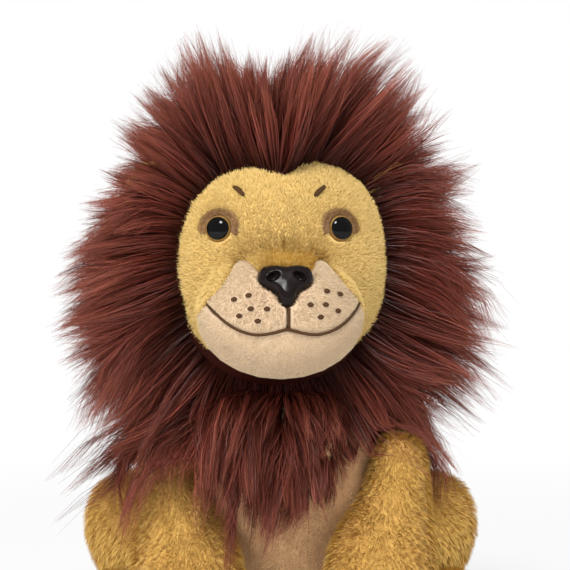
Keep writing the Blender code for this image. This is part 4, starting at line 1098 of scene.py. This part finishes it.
def make_mane(head_cover, mane_tree, materials, rng):
    """The hair on the head: crown, cheeks and nape, each a piece of its own."""
    roots, normals = scatter(head_cover, MANE_DENSITY, rng)
    roots, normals = off_neck(roots), turned_by(normals, -HEAD_TURN)
    keep = ~face_area(roots) & (roots[:, 2] > NECK_Z + 0.002)
    keep &= ~((normals[:, 2] < -0.75) & (roots[:, 2] < NECK_Z + 0.02) & (roots[:, 1] > UNDER_CHIN))
    roots, normals = roots[keep], normals[keep]
    regions = mane_regions(roots)
    for number, node in enumerate(MANE_PIECES):
        chosen = np.nonzero(regions == number)[0]
        most = NAPE_MOST if node == "mane_nape" else MANE_MOST
        if len(chosen) > most:
            chosen = rng.choice(chosen, most, replace=False)
        own, out = roots[chosen], normals[chosen]
        first, last = mane_ways(own, out)
        locks = len(own) // FIBRES_OF_LOCK
        front = np.clip((0.015 - own[:, 1]) / 0.03, 0, 1)
        paths, tint = long_pile(own, first, last, locks, MANE_LENGTH, mane_tree, rng, front)
        paths = keep_clear(paths, HEAD_CENTRE, np.array(HEAD_HALF_SIZES) + 0.001)
        free = ~within(paths, MUZZLE_BODY, np.array(MUZZLE_HALF_SIZES) + MUZZLE_ROOM)
        paths = clear_of_bodies(on_neck(paths[free]))
        add_long_piece(node, "head", paths, tint[free], materials["mane"], rng)


def add_long_piece(node, body, paths, tint, material, rng):
    widths = MANE_FIBRE_WIDTH * rng.uniform(0.75, 1.25, len(paths))
    piece = mesh_of(f"{node}_hair", *fibre_arrays(paths, widths, tint, rng), material)
    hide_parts(node)
    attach(piece, body)


def under_mane(points):
    """Which points of the head lie under its hair."""
    local = off_neck(points)
    return ~face_area(local, 0.0020) & (local[:, 2] > NECK_Z + 0.001)


def over_chest(points, ahead):
    """Which points of the body lie where the ruff hangs lower, over the chest."""
    near = bump(points[:, 0], 0, CHEST_WIDTH) * ahead
    return (points[:, 2] > CHEST_RUFF_FOOT) & (near > CHEST_SHARE)


def under_ruff(points):
    return (points[:, 2] > RUFF_FOOT) | over_chest(points, points[:, 1] < -0.05)


def make_ruff(torso_cover, materials, rng):
    """The hair round the neck and over the chest, rooted on the body."""
    roots, normals = scatter(torso_cover, MANE_DENSITY * 1.5, rng)
    keep = (roots[:, 2] > RUFF_FOOT) & (roots[:, 2] < NECK_Z - 0.001) & (normals[:, 2] < 0.8)
    keep |= over_chest(roots, np.clip((-0.030 - roots[:, 1]) / 0.02, 0, 1))
    roots, normals = roots[keep], normals[keep]
    outward = unit((roots - np.array([0, NECK_Y, 0])) * np.array([1, 1, 0]))
    high = np.clip((roots[:, 2:] - 0.078) / 0.028, 0, 1)
    side = np.abs(outward[:, :1])
    ahead = np.clip(-outward[:, 1:2], 0, 1) ** 2
    first = (
        normals * 0.45 + outward * (0.58 + 0.25 * high - 0.35 * ahead)
        + DOWN * (0.30 - 0.25 * high + 0.33 * ahead)
    )
    last = outward * (0.26 + 0.20 * side * high - 0.15 * ahead) + DOWN * (1.05 - 0.20 * side * high)
    for name, side_sign in SIDES:
        chosen = np.nonzero(roots[:, 0] * side_sign > 0)[0]
        if len(chosen) > RUFF_MOST:
            chosen = rng.choice(chosen, RUFF_MOST, replace=False)
        own = roots[chosen]
        locks = len(own) // FIBRES_OF_LOCK
        in_front = own[:, 1] < NECK_Y
        parted, draped = (bump(own[:, 0], *spot) * in_front for spot in (RUFF_PARTED, RUFF_DRAPED))
        cut = (1 - 0.72 * parted) * (1 - 0.22 * side[chosen, 0]) * (1 + 0.45 * draped)
        cut *= rng.uniform(0.62, 1.12, len(own))
        paths, tint = long_pile(
            own, unit(first[chosen]), unit(last[chosen]), locks, RUFF_LENGTH, None, rng, length_share=cut
        )
        # Painted shade: the ruff's fibres are darker, for the chin's shadow over the chest
        tint = np.clip(tint - RUFF_PAINTED_SHADE, *TINT_LIMITS)
        add_long_piece(f"mane_ruff_{name}", "torso", clear_of_bodies(paths), tint, materials["mane"], rng)


def make_tuft(tail_cover, materials, rng):
    """The long pile at the end of the tail."""
    end, way = np.array(TAIL_PATH[-1]), unit(np.array(TAIL_PATH[-1]) - np.array(TAIL_PATH[-2]))
    roots, normals = scatter(tail_cover, MANE_DENSITY * 2.2, rng)
    keep = (roots - end) @ way > -0.010
    roots, normals = roots[keep], normals[keep]
    first = unit(normals * 0.55 + way)
    last = unit(normals * 0.12 + way + np.array([[0, 0, -0.05]]))
    locks = max(12, len(roots) // FIBRES_OF_LOCK)
    paths, tint = long_pile(roots, first, last, locks, TUFT_LENGTH, None, rng)
    paths[..., 2] = np.maximum(paths[..., 2], HAIR_FLOOR)
    add_long_piece("tail_tuft", "tail", paths, tint, materials["mane"], rng)


# Face


def face_hit(tree, x, z):
    """The point and normal of the face straight behind a point of the head's front view."""
    start = Vector(on_neck([x, -0.2, z]))
    ahead = Vector(turned_by([0, 1.0, 0], HEAD_TURN))
    spot, normal, _, _ = tree.ray_cast(start, ahead, 0.4)
    return np.array(spot), np.array(normal)


def ridge_hit(tree, x, z, aside, above):
    """The foremost of three points of the face side by side, and the normal at the middle one."""
    hits = [face_hit(tree, x + step * aside, z + step * above) for step in (-1, 0, 1)]
    ahead = np.array(turned_by([0, -1.0, 0], HEAD_TURN))
    most = max(hit[0] @ ahead for hit in hits)
    return hits[1][0] + ahead * (most - hits[1][0] @ ahead), hits[1][1]


def picture_hit(tree, column, row):
    """The point and normal of the face at a pixel of the photograph."""
    place, right, up, back = camera_axes()
    middle = PHOTO_SIZE / 2
    ray = right * ((column - middle) * PIXEL) + up * ((middle - row) * PIXEL) - back * CAMERA_DISTANCE
    spot, normal, _, _ = tree.ray_cast(place, ray.normalized(), 3.0)
    return np.array(spot), np.array(normal)


def smooth_line(points, count):
    """More points on a line, as a curve through the given ones."""
    points = np.asarray(points, float)
    steps = np.linspace(0, len(points) - 1, count)
    index = np.clip(steps.astype(int), 0, len(points) - 2)
    t = (steps - index)[:, None]
    before, here = points[np.maximum(index - 1, 0)], points[index]
    after, later = points[index + 1], points[np.minimum(index + 2, len(points) - 1)]
    return 0.5 * (
        2 * here + (after - before) * t + (2 * before - 5 * here + 4 * after - later) * t ** 2
        + (3 * here - before - 3 * after + later) * t ** 3
    )


def tube_corners(rings, sides):
    """The ring and the side of every corner of the quads round a tube."""
    ring, side = np.divmod(np.arange((rings - 1) * sides), sides)
    rings = np.stack([ring, ring, ring + 1, ring + 1], axis=1)
    return rings, np.stack([side, side + 1, side + 1, side], axis=1)


def stitch_arrays(points, normals, width, height, taper=0.0, sides=8):
    """A stitched line: a low round bead along a surface, closed at both ends."""
    points, normals = np.asarray(points), unit(np.asarray(normals))
    count = len(points)
    along = unit(np.gradient(points, axis=0))
    across = unit(np.cross(along, normals))
    share = np.linspace(0, 1, count)
    size = np.ones(count)
    if taper:
        size = np.clip(np.sin(np.pi * np.clip(share, 0.03, 0.97)) ** taper, 0.1, 1)
    turns = np.arange(sides) / sides * 2 * np.pi
    rings = points[:, None] + size[:, None, None] * (
        across[:, None] * (np.cos(turns) * width)[None, :, None]
        + normals[:, None] * (np.sin(turns) * height)[None, :, None]
    )
    verts = np.concatenate([rings.reshape(-1, 3), points[[0, -1]]])
    length = np.concatenate([[0], np.cumsum(np.linalg.norm(np.diff(points, axis=0), axis=1))]) / 0.001
    ring, side = tube_corners(count, sides)
    faces = (ring * sides + side % sides).tolist()
    texture = np.stack([side / sides, length[ring]], axis=-1).reshape(-1, 2).tolist()
    for end, first in ((0, 0), (1, (count - 1) * sides)):
        for start in range(0, sides, 2):
            face = [len(verts) - 2 + end, *(first + (start + step) % sides for step in range(3))]
            faces.append(face if end else face[::-1])
            texture += [(0.5, length[first // sides])] * 4
    return verts, np.array(faces), np.array(texture)


def gathered(hits):
    """The points of several hits, and their normals."""
    return (np.array(values) for values in zip(*hits))


def make_stitching(tree, materials):
    """Mouth line, philtrum, whisker dots and brows over the covers. Returns the points of the thread."""
    beads = []
    half = smooth_line(MOUTH_SHARES, 26)
    line = np.concatenate([half[:0:-1] * np.array([[-1, 1]]), half])
    places, normals = gathered(
        ridge_hit(tree, x * MOUTH_HALF_WIDTH, MUZZLE_CENTRE[2] + z * MOUTH_HALF_HEIGHT, 0, STITCH_RIDGE)
        for x, z in line
    )
    for _ in range(4):
        places[1:-1] = (places[:-2] + 2 * places[1:-1] + places[2:]) / 4
        normals[1:-1] = normals[:-2] + 2 * normals[1:-1] + normals[2:]
    ahead = turned_by([0, -1.0, 0], HEAD_TURN)
    places = places + ahead * MOUTH_LIFT
    beads.append(stitch_arrays(places, normals, MOUTH_THREAD, MOUTH_THREAD * 0.8))
    line = np.linspace(PHILTRUM_TOP, MOUTH_SHARES[0][1] * MOUTH_HALF_HEIGHT, 9)
    places, _ = gathered(ridge_hit(tree, PHILTRUM_ASIDE, MUZZLE_CENTRE[2] + z, STITCH_RIDGE, 0) for z in line)
    places = places + ahead * MOUTH_LIFT * 0.5
    normals = np.tile(ahead, (len(places), 1))
    beads.append(stitch_arrays(places, normals, MOUTH_THREAD * 0.9, MOUTH_THREAD * 0.8))
    side_way = np.array(on_neck([1.0, 0, 0])) - np.array(on_neck([0, 0, 0]))
    long, high = WHISKER_DOT_HALF_SIZES
    for column, row in WHISKER_DOTS:
        spot, normal = picture_hit(tree, column, row)
        way = along_surface(side_way, normal)
        share = np.linspace(-1, 1, 7)[:, None]
        places = spot + normal * STITCH_LIFT * 0.8 + way * share * long
        beads.append(stitch_arrays(places, np.tile(normal, (7, 1)), high, high * 0.7, 0.5))
    for stroke in BROW_STROKES:
        places, normals = gathered(picture_hit(tree, *spot) for spot in smooth_line(stroke, 9))
        places = places + unit(normals) * BROW_LIFT
        beads.append(stitch_arrays(places, normals, BROW_THREAD, BROW_THREAD * 0.8, 0.25))
    points, faces, texture = joined_arrays(beads)
    piece = mesh_of("face_stitching", points, faces, texture, materials["thread"], "thread")
    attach(piece, "head")
    return points


def eye_place(side):
    """An eye's middle and the way that it looks, in the world."""
    width, depth, height = BROW_HALF_SIZES
    level = 1 - (EYE_RISE / height) ** 2
    across = 1 - (EYE_SPREAD / width) ** 2 / level
    aim = unit(np.array(EYE_AIM)) * np.array([side, 1, 1])
    spot = np.array(HEAD_CENTRE) + np.array([side * EYE_SPREAD, -depth * math.sqrt(level * across), EYE_RISE])
    return on_neck(spot - aim * EYE_SINK), turned_by(aim, HEAD_TURN)


def make_eye(name, side, materials):
    """A safety eye: a polished dome with an amber rim, and its post."""
    spot, aim = eye_place(side)
    profile = [(1e-5, EYE_HEIGHT)]
    for step in range(1, EYE_STEPS + 1):
        turn = math.pi / 2 * step / EYE_STEPS
        profile.append((EYE_RADIUS * math.sin(turn), EYE_RIM + (EYE_HEIGHT - EYE_RIM) * math.cos(turn)))
    profile += [
        (EYE_RADIUS, EYE_RIM * 0.4), (EYE_RADIUS * 0.97, 0), (POST_RADIUS, 0), (POST_RADIUS, -POST_LENGTH),
        (1e-5, -POST_LENGTH),
    ]
    sides = 40
    turns = np.arange(sides) / sides * 2 * np.pi
    rings = np.array([[(r * math.cos(t), r * math.sin(t), h) for t in turns] for r, h in profile])
    frame_of_eye = np.array(Vector(aim).to_track_quat("Z", "Y").to_matrix())
    points = rings.reshape(-1, 3) @ frame_of_eye.T + spot
    ring, side_number = (corners[:, [0, 3, 2, 1]] for corners in tube_corners(len(profile), sides))
    radii = np.array([radius for radius, _ in profile]) / EYE_RADIUS
    out = np.where(ring[:, :1] > EYE_STEPS, EYE_EDGE, radii[ring])
    texture = np.stack([out, side_number / sides], axis=-1).reshape(-1, 2)
    faces = ring * sides + side_number % sides
    piece = mesh_of(f"eye_dome_{name}", points, faces, texture, materials["eye"], "dome")
    shape = bmesh.new()
    shape.from_mesh(piece.data)
    bmesh.ops.remove_doubles(shape, verts=shape.verts, dist=5e-5)
    bmesh.ops.recalc_face_normals(shape, faces=shape.faces)
    shape.to_mesh(piece.data)
    shape.free()
    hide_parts(f"eye_{name}")
    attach(piece, "head")


def make_nose(materials):
    """The moulded nose, its edges eased."""
    piece = copied_node("nose", "nose_moulding")
    rounded(piece, NOSE_VOXEL, NOSE_TURNS)
    piece.data.shade_smooth()
    piece.data.materials.append(materials["nose"])
    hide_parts("nose")
    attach(piece, "head")


# Whole toy


def coat(name, cover, body, kind, material, open_tree, rng, way, keep=None, tint=0.0):
    """Short pile over a cover, where nothing else lies against it."""
    roots, normals = scatter(cover, kind["density"], rng)
    if keep is not None:
        chosen = keep(roots, normals)
        roots, normals = roots[chosen], normals[chosen]
    chosen = in_open_air(open_tree, roots, normals)
    roots, normals = roots[chosen], normals[chosen]
    ways = way(roots) if callable(way) else np.array([way], float)
    shade = tint(roots) if callable(tint) else tint
    short_pile(name, roots, normals, ways, kind, body, material, rng, shade)


def above_floor(roots, normals):
    return (roots[:, 2] > 0.0012) & ~((roots[:, 2] < 0.003) & (normals[:, 2] < -0.5))


def below_ruff(roots, normals):
    return above_floor(roots, normals) & (roots[:, 2] < RUFF_ROOT)


def face_lie(roots):
    """The nap of the face runs away from the nose, over the forehead and down the cheeks."""
    local = off_neck(roots)
    ways = local - np.array([0, -0.070, 0.156])
    ways[:, 1] *= 0.4
    ways[:, 1] += 0.01
    return turned_by(unit(ways), HEAD_TURN)


def both_sides(x, z, aside, width, middle, height):
    """A soft spot on either side of the nose."""
    return sum(
        np.exp(-((x - side * aside) / width) ** 2 - ((z - middle) / height) ** 2) for _, side in SIDES
    )


def face_tint(roots):
    """Sprayed golden brown above the nose and beside the eyes, and the seam down the forehead."""
    local = off_neck(roots)
    x, z = local[:, 0], local[:, 2]
    (middle, width), (top, height) = BRIDGE
    bridge = np.exp(-((x - middle) / width) ** 4) * np.exp(-(np.clip(z - top, 0, 1) / height) ** 2)
    flanks, sockets = both_sides(x, z, *FLANKS), both_sides(x, z, *SOCKETS)
    crease = bump(x, *CREASE[0]) * bump(z, *CREASE[1])
    return 0.54 * bridge + 0.28 * flanks + 0.20 * sockets + 0.30 * crease


def spray_on(piece, tint):
    """Keeps the tint of the pile on the cloth under it."""
    values = np.clip(tint(coordinates(piece.data)) / SPRAY_FULL, 0, 1)
    layer = piece.data.attributes.new("spray", "FLOAT", "POINT")
    layer.data.foreach_set("value", values.astype(np.float32))


def patch_tint(side):
    """Dark beside the eye, and as light as the face at the patch's rim."""
    middle, _ = eye_place(side)

    def tint(roots):
        away = np.linalg.norm((roots - middle)[:, [0, 2]], axis=1) / EYE_RADIUS
        return PATCH_SHADE - PATCH_FADE * np.clip((away - 1.30) / 0.40, 0, 1)
    return tint


def tail_lie(roots):
    path = smooth_line(TAIL_PATH, 40)
    ways = np.gradient(path, axis=0)
    return unit(ways[nearest_of(roots, path)])


def make_toy():
    materials = make_materials(make_groups())
    covers = make_covers(materials)
    spray_on(covers["head"], face_tint)
    bpy.context.view_layer.update()
    mane_nodes = [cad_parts[node] for node in MANE_PIECES]
    ruff_nodes = [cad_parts[f"mane_ruff_{name}"] for name, _ in SIDES]
    mane_tree = tree_of(mane_nodes)
    open_tree = tree_of([*covers.values(), *mane_nodes, *ruff_nodes])
    face_tree = tree_of([covers[name] for name in ("head", "chin", "muzzle_pad_left", "muzzle_pad_right")])

    rng = np.random.default_rng(7)
    make_mane(covers["head"], mane_tree, materials, rng)
    add_backing("mane_backing", "head", covers["head"], under_mane, materials)
    make_ruff(covers["torso"], materials, rng)
    add_backing("ruff_backing", "torso", covers["torso"], under_ruff, materials)
    make_tuft(covers["tail"], materials, rng)

    stitched = point_tree(make_stitching(face_tree, materials))

    def off_stitches(roots, normals):
        return np.array([stitched.find(root)[2] > STITCH_ROOM for root in roots], bool)

    eyes = [eye_place(side)[0] for _, side in SIDES]

    def off_eyes(roots, normals):
        gaps = [np.linalg.norm((roots - spot)[:, [0, 2]], axis=1) for spot in eyes]
        return np.minimum(*gaps) > EYE_RADIUS + EYE_ROOM

    def on_face(roots, normals):
        return face_area(off_neck(roots), 0.0012) & off_stitches(roots, normals) & off_eyes(roots, normals)

    def pile(node, body, kind, fibres, *finish, name=None):
        coat(name or f"{node}_pile", covers[node], body, kind, materials[fibres], open_tree, rng, *finish)

    pile("head", "head", FACE_PLUSH, "face", face_lie, on_face, face_tint, name="face_pile")
    pile("chin", "head", VELBOA, "cream", face_lie, off_stitches)
    # The pads' pile gets painted shade, so that they are no brighter than the chin
    for name, _ in SIDES:
        pile(f"muzzle_pad_{name}", "head", PAD_VELBOA, "cream", face_lie, off_stitches, PAD_PAINTED_SHADE)
    for name, side in SIDES:
        pile(f"eye_patch_{name}", "head", VELBOA, "patch", face_lie, off_eyes, patch_tint(side))
        pile(f"ear_{name}", "head", FACE_PLUSH, "tan", (side * 0.5, 0, 1))
        pile(f"ear_lining_{name}", "head", VELBOA, "cream", (0, 0, 1))
        # The last column tints each limb's pile: painted shade on the forelegs, painted light on the haunches
        # and hind feet
        for part, body, (aside, ahead, up), shade in LIMB_PILES:
            way = (side * aside, ahead, up)
            pile(f"{part}_{name}", f"{body}_{name}", PLUSH, "tan", way, above_floor, shade)
    pile("torso", "torso", BACK_PLUSH, "tan", (0, -0.2, -1), below_ruff)
    pile("chest_bib", "torso", VELBOA, "bib", (0, 0, -1), below_ruff)
    pile("tail", "tail", PLUSH, "tan", tail_lie, above_floor)

    for name, side in SIDES:
        make_eye(name, side, materials)
    make_nose(materials)
    for node in ("nose_washer", "eye_washer_left", "eye_washer_right"):
        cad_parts[node].data.materials.clear()
        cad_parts[node].data.materials.append(materials["washer"])


make_camera()
make_studio()
make_toy()
bpy.context.scene.view_settings.view_transform = "Standard"
